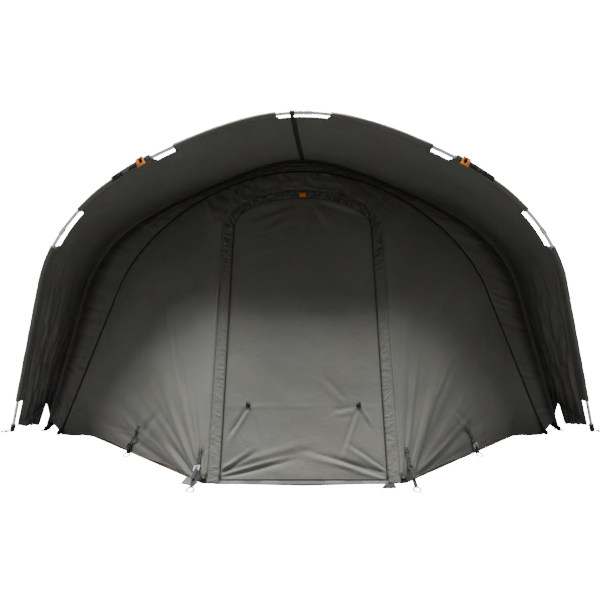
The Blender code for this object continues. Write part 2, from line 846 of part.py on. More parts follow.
def wall_spot(station, share):
    """Point and outward normal of the front wall at a station and a share down its line."""
    point, normal = wall_section(1.0 - station, (share,))[0]
    return point, normal if normal.y < 0.0 else -normal


def peg_strap(name, places, ring_at):
    """Webbing strap sewn to the wall, which runs down to a ring that a peg would hold."""
    points, normals = [], []
    for station, share, standoff in places:
        point, normal = wall_spot(station, share)
        points.append(point + normal * standoff)
        normals.append(normal)
    ring = Vector((*ring_at, RING_THICKNESS / 2))
    run = points[-1] - ring
    run = Vector((run.x, run.y, 0.0)).normalized()
    width = (points[0] - points[1]).cross(normals[0]).normalized()
    aside = Vector((-run.y, run.x, 0.0))
    if aside.dot(width) < 0:
        aside = -aside
    mesh = bmesh.new()
    half, lift = width * WEBBING_HALF, WEBBING / 2
    upper, lower = [], []
    for point, normal in zip(points, normals):
        upper.append([mesh.verts.new(point + normal * lift + half * k) for k in (-1, 1)])
        lower.append([mesh.verts.new(point - normal * lift + half * k) for k in (-1, 1)])
    up = Vector((0.0, 0.0, RING_THICKNESS / 2))
    loops = []
    for level, radius in ((1, RING_RADIUS), (1, RING_BORE), (-1, RING_BORE), (-1, RING_RADIUS)):
        loop = ring_points(ring + up * level, run, aside, radius, RING_SIDES, turn=0.5)
        loops.append([mesh.verts.new(point) for point in loop])
    for first, second in zip(loops, loops[1:]):
        add_quads(mesh, first, second, closed=True)
    add_quads(mesh, loops[0], loops[3])
    upper.append([loops[0][-1], loops[0][0]])
    lower.append([loops[3][-1], loops[3][0]])
    for rows in (upper, lower):
        for first, second in zip(rows, rows[1:]):
            add_quads(mesh, first, second)
    for edge in (0, 1):
        add_quads(mesh, [row[edge] for row in upper], [row[edge] for row in lower])
    add_quads(mesh, upper[0], lower[0])
    add_piece(name, mesh, webbing_material())


def build_peg_straps():
    peg_strap("corner_strap_right", CORNER_STRAP, CORNER_RING)
    peg_strap("side_strap_right", SIDE_STRAP, SIDE_RING)


def build_door_trim():
    """Toggle that holds the rolled door, and the plain tab over its top."""
    centre = door_point(*TOGGLE_PLACE)
    centre += DOOR_OUT * (FABRIC / 2 + GAP + TOGGLE_SIZE[2] / 2)
    mesh = block(centre, Vector((1.0, 0.0, 0.0)), DOOR_UP, DOOR_OUT, TOGGLE_SIZE)
    add_piece("door_toggle_right", mesh, plastic_material())
    centre = door_point(0.0, TAB_HEIGHT)
    centre += DOOR_OUT * (STRIP_THICKNESS / 2 + GAP + TAB_SIZE[2] / 2)
    mesh = block(centre, Vector((1.0, 0.0, 0.0)), DOOR_UP, DOOR_OUT, TAB_SIZE)
    add_piece("door_tab", mesh, orange_material())


def mirror_right_side():
    """Add a mirrored twin on the left for every piece of the right-hand side."""
    for piece in list(bpy.data.objects):
        if "right" not in piece.name:
            continue
        name = piece.name.replace("right", "left")
        data = piece.data.copy()
        data.name = name
        data.transform(Matrix.Scale(-1.0, 4, Vector((1.0, 0.0, 0.0))))
        data.flip_normals()
        twin = bpy.data.objects.new(name, data)
        bpy.context.collection.objects.link(twin)


def main():
    clear_scene()
    build_hood()
    build_front_pole()
    build_feet()
    build_ribs()
    build_band()
    build_zip_arch()
    build_door()
    build_front_wall()
    build_body()
    build_groundsheet()
    build_hood_trim()
    build_peg_straps()
    build_door_trim()
    mirror_right_side()


main()
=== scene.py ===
"""Looks of a fishing bivvy: wrinkled cloth, zips, seams, webbing, poles and fittings round the fixed frame.

Every size is in metres. +X runs to the right as seen from in front of the door, +Y from the
door to the rear, and +Z up.
"""
import math

import bmesh
import bpy
import numpy as np
from mathutils import Matrix, Vector


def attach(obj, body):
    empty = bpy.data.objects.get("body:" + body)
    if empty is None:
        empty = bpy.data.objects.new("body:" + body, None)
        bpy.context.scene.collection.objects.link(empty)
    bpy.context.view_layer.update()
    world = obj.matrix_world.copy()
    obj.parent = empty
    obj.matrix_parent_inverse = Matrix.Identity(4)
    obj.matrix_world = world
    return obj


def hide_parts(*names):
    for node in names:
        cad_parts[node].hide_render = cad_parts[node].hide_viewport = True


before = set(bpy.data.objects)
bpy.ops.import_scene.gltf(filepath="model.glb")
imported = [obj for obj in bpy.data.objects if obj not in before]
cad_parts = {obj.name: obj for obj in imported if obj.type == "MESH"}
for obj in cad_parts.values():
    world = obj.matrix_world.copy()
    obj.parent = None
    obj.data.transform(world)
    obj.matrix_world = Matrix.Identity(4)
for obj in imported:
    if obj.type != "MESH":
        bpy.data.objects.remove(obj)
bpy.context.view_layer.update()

bl_info = {
    "name": "Fishing bivvy looks",
    "version": (1, 0, 0),
    "blender": (4, 5, 0),
    "location": "View3D > Sidebar > Bivvy",
    "description": "Cloth, zips, seams, webbing, poles and fittings of a fishing bivvy",
    "category": "Object",
}

# The ribs, as in the part: half width and Y at the feet, Y and Z at the crown, knee and droop as shares
FRONT_RIB = dict(half_width=1.522, foot_y=0.0, crown_y=-0.554, crown_z=1.55, knee=(0.8275, 0.51), droop=0.015)
MAIN_RIB = dict(half_width=1.352, foot_y=0.052, crown_y=0.12, crown_z=1.423, knee=(0.85, 0.51), droop=0.04)
REAR_RIB = dict(half_width=1.295, foot_y=0.31, crown_y=1.02, crown_z=1.2, knee=(0.847, 0.51), droop=0.025)
ZIP_ARCH = dict(half_width=1.251, foot_y=-0.057, crown_y=0.04, crown_z=1.355, knee=(0.76, 0.55), droop=0.0)
ARCH_FULLNESS = 0.55
DROOP_SKEW = 1.5

# Stations along an arch: 0 at a foot, 0.5 at the knee, 1 at the crown
FIRST_STATION = 0.004
SLEEVE_FOOT = 0.112
HEM_STATION = 0.0245
NOTCH_SHARE = 0.79
COVERED_FOOT = 0.036
CUTS = ((0.572, 0.650), (0.788, 0.822), (0.964, 1.036))
CUT_EDGE = 0.03
CUT_DEPTH = 0.058
CUT_CORNER = 0.0012
SLEEVE_CLEAR = 0.0118
CORD_CLEAR = 0.0068
BAND_CLEAR = 0.0064
BAND_RISE, BAND_RISE_END = 0.030, 0.29
BAND_SEAMS = (0.36, 0.68)
# Share of painted shade over the sleeves of the main and rear ribs
SLEEVE_PAINTED_SHADE = 0.5
HOOD_SADDLE = 0.016
BODY_SADDLE = 0.02

# Door and front wall
SILL = np.array((0.0, -0.93, 0.0))
DOOR_HALF_WIDTH = 0.34
DOOR_SPRING = 1.30
DOOR_TOP = 1.49
DOOR_FOOT = 0.034
STRIP_WIDTH = 0.052
STRIP_FOOT = 0.03
WALL_START = np.array((1.236, -0.07, 0.0))
WALL_BEND = np.array((1.07, -0.12, 0.0))
WALL_CORNER = np.array((0.404, -0.912, 0.0))
CORNER_RADIUS = 0.035
HEM_HEIGHT = 0.005
HEM_LIFT = 0.012
WALL_CLEAR = 0.0065
STRIP_LAP = 0.003
STRAP_WIDTH = 0.018
HEM_SHOWS = 0.011
CLOTH_FLOOR = 0.003
WALL_STATIONS = (0.004, 0.083, 0.18, 0.5, 0.724, 0.762, 1.0)
WALL_PLACES = (0.0, 0.6, 1.0, 2.0, 3.0, 4.0, 5.0)

# Rear ground line, right half, and the stations of the rear rib that face its pegs
REAR_GROUND = ((1.325, 0.36), (1.30, 0.78), (1.13, 1.25), (0.80, 1.66), (0.40, 1.89), (0.0, 1.95))
REAR_STATIONS = (0.004, 0.29, 0.5, 0.687, 0.822, 1.0)
SIDE_GROUND = ((1.201, -0.07), (1.315, 0.08), (1.265, 0.3))

# Metres of hood, body and rear for each unit of q, which keep the wrinkles at their size
ARCH_RUN, BODY_RUN, REAR_RUN = 2.5, 2.4, 2.6

# Columns of the cloth, as steps in q, and its rows
HOOD_STEP, HOOD_ROWS, SLEEVE_ROWS = 0.0046, 46, 14
WALL_STEP, WALL_ROWS = 0.0040, 84
BAND_STEP, BAND_ROWS = 0.0034, 26
BODY_STEP, BODY_ROWS = 0.006, 44
STRIP_STEP, STRIP_ROWS = 0.0032, 16
DOOR_COLUMNS = 140

# Fittings: length, width and height of a stitch, stations along the front rib, heights and places
# on the door, stations and shares of the straps on the wall, and the corners of the flaps
STITCH = (0.0042, 0.0008, 0.0006)
TUBE_END = 0.992
FERRULE_SCALE = 1.3
BUCKLE_STATION = 0.772
WEBBING_STATIONS = (0.722, 0.787)
TAB_HEIGHT = 1.505
TOGGLE_PLACE = (0.235, 0.358)
CORNER_STRAP = ((0.685, 0.915), (0.56, 0.955))
SIDE_STRAP = ((0.375, 0.772), (0.32, 0.952))
FLAP_CORNERS = {
    "left": ((-0.484, -0.818, 0.012), (-0.5, -0.893, 0.003),
             (-0.441, -0.932, 0.003), (-0.428, -0.905, 0.012)),
    "right": ((0.365, -0.925, 0.014), (0.372, -0.955, 0.003),
              (0.31, -0.958, 0.0025), (0.325, -0.93, 0.01)),
}
SIDES = ((-1, "left"), (1, "right"))

# The photograph's camera: place, turn and pitch in radians, focal length in pixels of 600
CAMERA_PLACE = np.array((-0.0198, -3.9, 0.95))
CAMERA_TURN = math.radians(-0.1)
CAMERA_PITCH = 0.0664
FOCAL_PIXELS = 754.0
PICTURE = 600.0
SENSOR = 36.0

UP = np.array((0.0, 0.0, 1.0))
RIGHT = np.array((1.0, 0.0, 0.0))


def unit(vectors):
    return vectors / np.maximum(np.linalg.norm(vectors, axis=-1, keepdims=True), 1e-12)


def across(direction, tangent):
    """The part of each direction that is square to a tangent, as unit vectors."""
    return unit(direction - tangent * np.sum(direction * tangent, axis=-1, keepdims=True))


def ease(low, high, value):
    """Smooth step from 0 at low to 1 at high."""
    share = np.clip((value - low) / (high - low), 0.0, 1.0)
    return share * share * (3.0 - 2.0 * share)


def mirrored(stations):
    """Values of q at stations on the right-hand side and on the left."""
    return [1.0 - station for station in stations] + [station - 1.0 for station in stations]


def sizes():
    return bpy.context.scene.bivvy_sizes


DOOR_UP = unit(np.array((0.0, ZIP_ARCH["crown_y"], ZIP_ARCH["crown_z"])) - SILL)
DOOR_OUT = np.array((0.0, -DOOR_UP[2], DOOR_UP[1]))
DOOR_AXES = (RIGHT, DOOR_UP, DOOR_OUT)


class Arch:
    """Centre line of a rib: straight legs and a rounded top, in one leaning plane."""

    def __init__(self, half_width, foot_y, crown_y, crown_z, knee, droop):
        self.half_width = half_width
        self.droop = np.array((0.0, droop))
        self.foot = np.array((0.0, foot_y, 0.0))
        self.lean = np.array((0.0, crown_y - foot_y, crown_z))
        self.knee = np.array((half_width * knee[0], knee[1]))

    def profile(self, station):
        """X and share of the height at stations from 0, the foot, to 1, the crown."""
        s = np.asarray(station, float)[..., None]
        foot = np.array((self.half_width, 0.0))
        leg = self.knee - foot
        meet = foot + leg / leg[1]
        crown = np.array((0.0, 1.0))
        first = self.knee + (meet - self.knee) * ARCH_FULLNESS
        second = crown + (meet - crown) * ARCH_FULLNESS
        b = np.clip((s - 0.5) / 0.5, 0.0, 1.0)
        a = 1.0 - b
        full = a**3 * self.knee + 3 * a * a * b * first + 3 * a * b * b * second + b**3 * crown
        top = full - self.droop * np.sin(math.pi * b**DROOP_SKEW) ** 2
        return np.where(s <= 0.5, foot + leg * s / 0.5, top)

    def point(self, q):
        """Points at q, from -1 at the left foot through 0 at the crown to 1 at the right."""
        q = np.asarray(q, float)
        flat = self.profile(1.0 - np.abs(q))
        x = np.where(q < 0, -1.0, 1.0) * flat[..., 0]
        return self.foot + x[..., None] * RIGHT + self.lean * flat[..., 1:]

    def tangent(self, q):
        step = 0.0005
        q = np.asarray(q, float)
        after = self.point(np.minimum(q + step, 1.0))
        return unit(after - self.point(np.maximum(q - step, -1.0)))

    def normal(self):
        return unit(np.array((0.0, -self.lean[2], self.lean[1])))


FRONT = Arch(**FRONT_RIB)
MAIN = Arch(**MAIN_RIB)
REAR = Arch(**REAR_RIB)
ZIP = Arch(**ZIP_ARCH)


def sight(points):
    """Places of points in the photograph's frame, in pixels."""
    turn, pitch = CAMERA_TURN, CAMERA_PITCH
    ahead = np.array((-math.sin(turn) * math.cos(pitch), math.cos(turn) * math.cos(pitch), -math.sin(pitch)))
    right = np.array((math.cos(turn), math.sin(turn), 0.0))
    high = np.cross(right, ahead)
    ray = points - CAMERA_PLACE
    depth = ray @ ahead
    half = PICTURE / 2
    return half + FOCAL_PIXELS * (ray @ right) / depth, half - FOCAL_PIXELS * (ray @ high) / depth


# Surfaces of the cloth

def ruled(near, near_tangent, far, far_tangent, near_clear, far_clear, share, saddle=0.0):
    """Points and normals of cloth stretched between two edges, at shares of the way across."""
    near_way = across(far - near, near_tangent)
    far_way = across(far - near, far_tangent)
    start = near + near_way * np.asarray(near_clear, float)[..., None]
    end = far - far_way * np.asarray(far_clear, float)[..., None]
    near_normal = np.cross(near_tangent, near_way)
    far_normal = np.cross(far_tangent, far_way)
    s = share[..., None]
    normal = unit(near_normal * (1 - s) + far_normal * s)
    dip = np.asarray(saddle * 4.0 * share * (1.0 - share))[..., None]
    return start * (1 - s) + end * s - normal * dip, normal


def saddle_at(q, depth):
    return depth * np.cos(q * math.pi / 2.0) ** 2


def sleeve_setback(station):
    """Distance of the hood's cloth edge from the front pole's centre line, less below the sleeve."""
    return CUT_EDGE - 0.006 * np.clip(1.0 - station / SLEEVE_FOOT, 0.0, 1.0)


def trimmed(q, share):
    """Shares of the hood's cloth between the edge of a cut-out and the main rib."""
    station, depth = 1.0 - np.abs(q), 0.0 * q
    for start, end in CUTS:
        inside = np.minimum(station - start, end - station)
        depth = depth + (CUT_DEPTH - CUT_EDGE) * np.clip(inside / CUT_CORNER, 0.0, 1.0)
    depth = depth / np.linalg.norm(MAIN.point(q) - FRONT.point(q), axis=-1)
    return depth + (1.0 - depth) * share


def hood_surface(q, share):
    station = 1.0 - np.abs(q)
    return ruled(FRONT.point(q), FRONT.tangent(q), MAIN.point(q), MAIN.tangent(q),
                 sleeve_setback(station), SLEEVE_CLEAR, share, saddle_at(q, HOOD_SADDLE))


def band_surface(q, share):
    station = 1.0 - np.abs(q)
    raised = station + BAND_RISE * np.maximum(0.0, 1.0 - station / BAND_RISE_END)
    main_q = np.sign(q) * (1.0 - raised)
    points, normals = ruled(MAIN.point(main_q), MAIN.tangent(main_q), ZIP.point(q), ZIP.tangent(q),
                            SLEEVE_CLEAR + 0 * q, BAND_CLEAR + 0 * q, share)
    return points, -normals


def door_point(x, height):
    """Points of the door's plane at x and a distance up its slope."""
    x, height = np.asarray(x, float), np.asarray(height, float)
    return SILL + x[..., None] * RIGHT + height[..., None] * DOOR_UP


def hem_height(share):
    """Height of a hem between its pegs, which hold it down at each end and at the middle."""
    return HEM_HEIGHT + HEM_LIFT * abs(math.sin(2.0 * math.pi * share))


def wall_path(position):
    """Inner edge of the right wall: 0 to 2 ground, 2 to 3 corner, 3 to 4 strip, 4 to 5 top."""
    along = unit(WALL_CORNER - WALL_BEND)
    side = DOOR_HALF_WIDTH + STRIP_WIDTH + WALL_CLEAR
    before = WALL_CORNER - along * CORNER_RADIUS
    after = door_point(side, CORNER_RADIUS + STRIP_FOOT)
    if position <= 1.0:
        return WALL_START + (WALL_BEND - WALL_START) * position + UP * hem_height(0.0)
    if position <= 2.0:
        share = position - 1.0
        return WALL_BEND + (before - WALL_BEND) * share + UP * hem_height(share)
    if position <= 3.0:
        share = position - 2.0
        low, corner = before + UP * hem_height(0.0), door_point(side, STRIP_FOOT)
        return low * (1 - share) ** 2 + corner * 2 * share * (1 - share) + after * share**2
    if position <= 4.0:
        return after + (door_point(side, DOOR_SPRING) - after) * (position - 3.0)
    angle = (position - 4.0) * math.pi / 2
    rise = DOOR_TOP - DOOR_SPRING + STRIP_WIDTH + WALL_CLEAR
    return door_point(side * math.cos(angle), DOOR_SPRING + rise * math.sin(angle))


def wall_edge(q):
    """Points of the wall's inner edge that face stations of the zip arch."""
    flat = np.asarray(q, float).ravel()
    places = np.interp(1.0 - np.abs(flat), WALL_STATIONS, WALL_PLACES)
    points = np.array([wall_path(place) for place in places])
    points[:, 0] *= np.where(flat < 0, -1.0, 1.0)
    return points.reshape(np.shape(q) + (3,))


def wall_surface(q, share):
    """Front wall between the zip arch and the door's strip or the ground."""
    columns = q[:, :1]
    step = 0.002
    edge = wall_edge(columns)
    after = wall_edge(np.minimum(columns + step, 1.0))
    tangent = unit(after - wall_edge(np.maximum(columns - step, -1.0)))
    points, normals = ruled(ZIP.point(q), ZIP.tangent(q), edge + 0 * q[..., None],
                            tangent + 0 * q[..., None], CORD_CLEAR + 0 * q, 0 * q, share)
    return points, -normals


def body_surface(q, share):
    return ruled(MAIN.point(q), MAIN.tangent(q), REAR.point(q), REAR.tangent(q),
                 SLEEVE_CLEAR + 0 * q, SLEEVE_CLEAR + 0 * q, share, saddle_at(q, BODY_SADDLE))


def rear_ground(q):
    """Rear hem, straight between its pegs."""
    ground = np.array(REAR_GROUND)
    station = 1.0 - np.abs(q)
    x = np.interp(station, REAR_STATIONS, ground[:, 0]) * np.sign(q)
    y = np.interp(station, REAR_STATIONS, ground[:, 1])
    return np.stack([x, y, HEM_HEIGHT + 0 * y], axis=-1)


def rear_surface(q, share):
    step = 0.01
    after = rear_ground(np.minimum(q + step, 1.0))
    tangent = unit(after - rear_ground(np.maximum(q - step, -1.0)))
    return ruled(REAR.point(q), REAR.tangent(q), rear_ground(q), tangent,
                 SLEEVE_CLEAR + 0 * q, 0 * q, share, saddle_at(q, BODY_SADDLE))


# Wrinkles

def ripple(x, y, seed, cell):
    """Smooth random height from -1 to 1 on a plane, with hills about one cell apart."""
    lattice = np.random.default_rng(seed).uniform(-1.0, 1.0, (64, 64))
    gx, gy = x / cell, y / cell
    i, j = np.floor(gx).astype(int), np.floor(gy).astype(int)
    fx, fy = gx - i, gy - j
    fx = fx**3 * (fx * (fx * 6 - 15) + 10)
    fy = fy**3 * (fy * (fy * 6 - 15) + 10)
    low = lattice[i % 64, j % 64] * (1 - fx) + lattice[(i + 1) % 64, j % 64] * fx
    high = lattice[i % 64, (j + 1) % 64] * (1 - fx) + lattice[(i + 1) % 64, (j + 1) % 64] * fx
    return low * (1 - fy) + high * fy


def crease(x, y, seed, cell):
    """Sharp random ridges, 1 along their crests and near 0 between them."""
    return 1.0 - np.abs(ripple(x, y, seed, cell)) ** 0.5


def fold_lines(u, v, folds):
    """Height of single folds, each a line between two places with a width and a depth.

    A fold is a valley with a softer ridge on its right-hand side as it runs."""
    height = np.zeros_like(u)
    for u1, v1, u2, v2, width, depth in folds:
        du, dv = u2 - u1, v2 - v1
        length = math.hypot(du, dv)
        along = ((u - u1) * du + (v - v1) * dv) / length**2
        aside = ((u - u1) * dv - (v - v1) * du) / length
        fade = ease(-0.08, 0.12, along) * (1.0 - ease(0.55, 1.1, along))
        spread = width * (0.7 + 0.5 * np.clip(along, 0.0, 1.0))
        shape = -np.exp(-(np.abs(aside / spread) ** 1.3)) + 0.75 * np.exp(-((aside / spread - 1.6) ** 2))
        height += depth * fade * shape
    return height


def fan(u, v, centre, start, end, seed, reach, depth, count):
    """Folds that spread from a corner between two angles in degrees, anticlockwise from right."""
    du, dv = u - centre[0], centre[1] - v
    distance = np.hypot(du, dv)
    angle = np.degrees(np.arctan2(dv, du))
    share = (angle - start) / (end - start)
    inside = ease(0.0, 0.08, share) * (1.0 - ease(0.92, 1.0, share))
    wave = ripple(share * count, distance / reach * 1.5, seed, 1.0)
    grow = ease(0.0, 0.12, distance / reach) * (1.0 - ease(0.45, 1.0, distance / reach))
    return depth * wave * inside * grow


# Meshes

def make_object(name, mesh, finish, smooth=True):
    mesh.materials.append(finish)
    if smooth:
        mesh.shade_smooth()
    piece = bpy.data.objects.new(name, mesh)
    bpy.context.collection.objects.link(piece)
    return piece


def settle(piece, replaced=()):
    """Let a piece ride with the frame, in place of the nodes it stands for, which it hides."""
    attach(piece, "root")
    if replaced:
        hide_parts(*replaced)
    return piece


def vertex_normals(points, faces):
    """Normals at vertices of a mesh of quads, weighted by area."""
    diagonal = points[faces[:, 2]] - points[faces[:, 0]]
    other = points[faces[:, 3]] - points[faces[:, 1]]
    face_normals = np.cross(diagonal, other)
    total = np.zeros_like(points)
    for corner in range(4):
        np.add.at(total, faces[:, corner], face_normals)
    return unit(total)


def grid_faces(rows, columns, closed=False):
    """Quads of a grid of rows by columns of vertices, with the last column joined to the first."""
    index = np.arange(rows * columns).reshape(rows, columns)
    after = np.roll(index, -1, axis=1)
    if not closed:
        index, after = index[:, :-1], after[:, :-1]
    quads = [index[:-1], after[:-1], after[1:], index[1:]]
    return np.stack(quads, axis=-1).reshape(-1, 4)


def shell(name, points, faces, thickness, finish, places, lined=None):
    """Closed thin sheet from quads, half its thickness on either side, with its places as UVs."""
    count = len(points)
    normals = vertex_normals(points, faces) * thickness / 2
    edges = np.concatenate([faces[:, [k, (k + 1) % 4]] for k in range(4)])
    keys = edges[:, 0].astype(np.int64) * count + edges[:, 1]
    reverse = edges[:, 1].astype(np.int64) * count + edges[:, 0]
    rim = edges[~np.isin(keys, reverse)]
    rim_faces = np.stack([rim[:, 1], rim[:, 0], rim[:, 0] + count, rim[:, 1] + count], axis=-1)
    quads = np.concatenate([faces, faces[:, ::-1] + count, rim_faces])
    vertices = np.concatenate([points + normals, points - normals])
    used = np.unique(quads)
    renumber = np.zeros(len(vertices), int)
    renumber[used] = np.arange(len(used))
    mesh = bpy.data.meshes.new(name)
    mesh.from_pydata(vertices[used].tolist(), [], renumber[quads].tolist())
    layer = mesh.uv_layers.new(name="UVMap")
    doubled = np.concatenate([places, places])
    layer.data.foreach_set("uv", doubled[quads.ravel()].astype(np.float32).ravel())
    # Painted shade per point, which the tent cloth's material reads to darken its colour
    if lined is not None:
        layer = mesh.attributes.new("lined", "FLOAT", "POINT")
        layer.data.foreach_set("value", np.concatenate([lined, lined])[used].astype(np.float32))
    mesh.update()
    return make_object(name, mesh, finish)


def cloth(name, points, outward, finish, keep=None, lined=None):
    """Sheet of cloth through a grid of points, facing the way that outward gives."""
    rows, columns = points.shape[:2]
    faces = grid_faces(rows, columns)
    if keep is not None:
        faces = faces[keep.ravel()]
    flat = points.reshape(-1, 3)
    normals = vertex_normals(flat, faces)
    if np.sum(normals * outward.reshape(-1, 3)) < 0:
        faces = faces[:, ::-1]
    steps = np.linalg.norm(np.diff(points, axis=0), axis=-1)
    along = np.vstack([np.zeros((1, columns)), np.cumsum(steps, axis=0)])
    steps = np.linalg.norm(np.diff(points, axis=1), axis=-1)
    aside = np.hstack([np.zeros((rows, 1)), np.cumsum(steps, axis=1)])
    along = np.repeat(along.mean(axis=1, keepdims=True), columns, axis=1)
    places = np.stack([along, aside], axis=-1).reshape(-1, 2)
    lined = None if lined is None else lined.ravel()
    return shell(name, flat, faces, sizes().cloth, finish, places, lined)


def sweep(name, path, side, outline, finish, closed=False, scale=None, smooth=True):
    """Solid that carries an outline along a path, its width along side."""
    path = np.asarray(path, float)
    if closed:
        tangent = unit(np.roll(path, -1, axis=0) - np.roll(path, 1, axis=0))
    else:
        tangent = unit(np.gradient(path, axis=0))
    side = across(np.broadcast_to(side, path.shape), tangent)
    high = np.cross(tangent, side)
    outline = np.asarray(outline, float)
    size = np.ones(len(path)) if scale is None else np.asarray(scale, float)
    offset = side[:, None] * outline[None, :, :1] + high[:, None] * outline[None, :, 1:]
    rings = path[:, None] + offset * size[:, None, None]
    rows, sides = rings.shape[:2]
    quads = grid_faces(rows, sides, closed=True)
    if closed:
        last = (rows - 1) * sides + np.arange(sides)
        first = np.arange(sides)
        extra = np.stack([last, np.roll(last, -1), np.roll(first, -1), first], axis=-1)
        quads = np.concatenate([quads, extra])
    faces = quads[:, ::-1].tolist()
    if not closed:
        faces.append(list(range(sides)))
        faces.append([(rows - 1) * sides + k for k in reversed(range(sides))])
    mesh = bpy.data.meshes.new(name)
    mesh.from_pydata(rings.reshape(-1, 3).tolist(), [], faces)
    piece = make_object(name, mesh, finish, smooth)
    turn_outward(mesh)
    if smooth:
        mesh.set_sharp_from_angle(angle=math.radians(45))
    return piece


def turn_outward(mesh):
    work = bmesh.new()
    work.from_mesh(mesh)
    bmesh.ops.recalc_face_normals(work, faces=work.faces)
    work.to_mesh(mesh)
    work.free()
    mesh.update()


def full_turn(count):
    return np.linspace(0.0, 2 * math.pi, count, endpoint=False)


def disc(radius, sides):
    """Round outline of a sweep."""
    angles = 2 * math.pi * np.arange(sides) / sides
    return np.stack([np.cos(angles) * radius, np.sin(angles) * radius], axis=-1)


def slab(width, thickness):
    """Flat outline with softened edges."""
    w, t, e = width / 2, thickness / 2, thickness * 0.3
    lower = ((-w, -t + e), (-w + e, -t), (w - e, -t), (w, -t + e))
    return lower + ((w, t - e), (w - e, t), (-w + e, t), (-w, t - e))


def join(name, pieces):
    """Make one object of several."""
    with bpy.context.temp_override(active_object=pieces[0], selected_editable_objects=pieces):
        bpy.ops.object.join()
    pieces[0].name = name
    pieces[0].data.name = name
    return pieces[0]


def rounded_box(name, centre, axes, size, bevel, finish):
    """Box along three square directions, with rounded edges."""
    work = bmesh.new()
    bmesh.ops.create_cube(work, size=1.0)
    bmesh.ops.scale(work, vec=Vector(size), verts=work.verts)
    bmesh.ops.bevel(work, geom=work.edges, offset=bevel, segments=2, profile=0.7, affect="EDGES")
    turn = Matrix([list(axis) for axis in axes]).transposed().to_4x4()
    turn.translation = Vector(centre)
    bmesh.ops.transform(work, matrix=turn, verts=work.verts)
    bmesh.ops.recalc_face_normals(work, faces=work.faces)
    mesh = bpy.data.meshes.new(name)
    work.to_mesh(mesh)
    work.free()
    piece = make_object(name, mesh, finish)
    mesh.set_sharp_from_angle(angle=math.radians(40))
    return piece


# Nodes

def feed(tree, node, inputs):
    """Join a node's inputs to sockets, or set them to plain values."""
    for label, value in inputs.items():
        if isinstance(value, bpy.types.NodeSocket):
            tree.links.new(value, node.inputs[label])
        else:
            node.inputs[label].default_value = value


def new_node(tree, kind, inputs, **settings):
    """Node with its settings and inputs."""
    node = tree.nodes.new(kind)
    for name, value in settings.items():
        setattr(node, name, value)
    feed(tree, node, inputs)
    return node


# Stitches and teeth, set along a seam by geometry nodes

def seam_tree():
    """Node tree that sets small blocks along a line at an even pitch."""
    name = "blocks_along_seam"
    found = bpy.data.node_groups.get(name)
    if found:
        return found
    tree = bpy.data.node_groups.new(name, "GeometryNodeTree")
    face = tree.interface
    face.new_socket("Geometry", in_out="INPUT", socket_type="NodeSocketGeometry")
    for label, value in (("Pitch", 0.006), ("Length", 0.004), ("Width", 0.001), ("Height", 0.001)):
        socket = face.new_socket(label, in_out="INPUT", socket_type="NodeSocketFloat")
        socket.default_value = value
        socket.subtype = "DISTANCE"
    face.new_socket("Finish", in_out="INPUT", socket_type="NodeSocketMaterial")
    face.new_socket("Geometry", in_out="OUTPUT", socket_type="NodeSocketGeometry")

    def add(kind, inputs, out, **settings):
        return new_node(tree, kind, inputs, **settings).outputs[out]

    given = tree.nodes.new("NodeGroupInput").outputs
    line = add("GeometryNodeMeshToCurve", {"Mesh": given["Geometry"]}, "Curve")
    inputs = {"Curve": line, "Length": given["Pitch"]}
    spread = add("GeometryNodeResampleCurve", inputs, "Curve", mode="LENGTH")
    inputs = {"X": given["Length"], "Y": given["Width"], "Z": given["Height"]}
    block = add("GeometryNodeMeshCube", {"Size": add("ShaderNodeCombineXYZ", inputs, "Vector")}, "Mesh")
    attribute = "GeometryNodeInputNamedAttribute"
    facing = add(attribute, {"Name": "facing"}, "Attribute", data_type="FLOAT_VECTOR")
    align = "FunctionNodeAlignRotationToVector"
    lift = add(align, {"Vector": facing}, "Rotation", axis="Z")
    inputs = {"Rotation": lift, "Vector": add("GeometryNodeInputTangent", {}, "Tangent")}
    turn = add(align, inputs, "Rotation", axis="X", pivot_axis="Z")
    inputs = {"Points": spread, "Instance": block, "Rotation": turn}
    placed = add("GeometryNodeInstanceOnPoints", inputs, "Instances")
    real = add("GeometryNodeRealizeInstances", {"Geometry": placed}, "Geometry")
    inputs = {"Geometry": real, "Material": given["Finish"]}
    new_node(tree, "NodeGroupOutput", {"Geometry": add("GeometryNodeSetMaterial", inputs, "Geometry")})
    return tree


def along_seams(name, seams, pitch, block, finish):
    """Blocks along several lines of points, each line with the ways that its blocks face."""
    points, edges, ways = [], [], []
    for path, facing in seams:
        start = len(points)
        points.extend(np.asarray(path, float).tolist())
        ways.extend(np.broadcast_to(facing, np.shape(path)).tolist())
        edges.extend((start + k, start + k + 1) for k in range(len(path) - 1))
    mesh = bpy.data.meshes.new(name)
    mesh.from_pydata(points, edges, [])
    layer = mesh.attributes.new("facing", "FLOAT_VECTOR", "POINT")
    layer.data.foreach_set("vector", np.asarray(ways, np.float32).ravel())
    guide = bpy.data.objects.new(name, mesh)
    bpy.context.collection.objects.link(guide)
    tree = seam_tree()
    modifier = guide.modifiers.new("seam", "NODES")
    modifier.node_group = tree
    values = dict(zip(("Pitch", "Length", "Width", "Height", "Finish"), (pitch, *block, finish)))
    for socket in tree.interface.items_tree:
        if socket.in_out == "INPUT" and socket.name in values:
            modifier[socket.identifier] = values[socket.name]
    ready = guide.evaluated_get(bpy.context.evaluated_depsgraph_get())
    made = bpy.data.meshes.new_from_object(ready)
    made.name = name
    bpy.data.objects.remove(guide, do_unlink=True)
    piece = bpy.data.objects.new(name, made)
    bpy.context.collection.objects.link(piece)
    return piece


def stitched(name, seams, wider=1.0):
    """Rows of the tent's stitches, at the usual pitch or a wider one."""
    stitches = along_seams(name, seams, sizes().stitch_pitch * wider, STITCH, thread_finish())
    settle(stitches)


# Finishes

def colour(name):
    return tuple(getattr(bpy.context.scene.bivvy_colours, name))


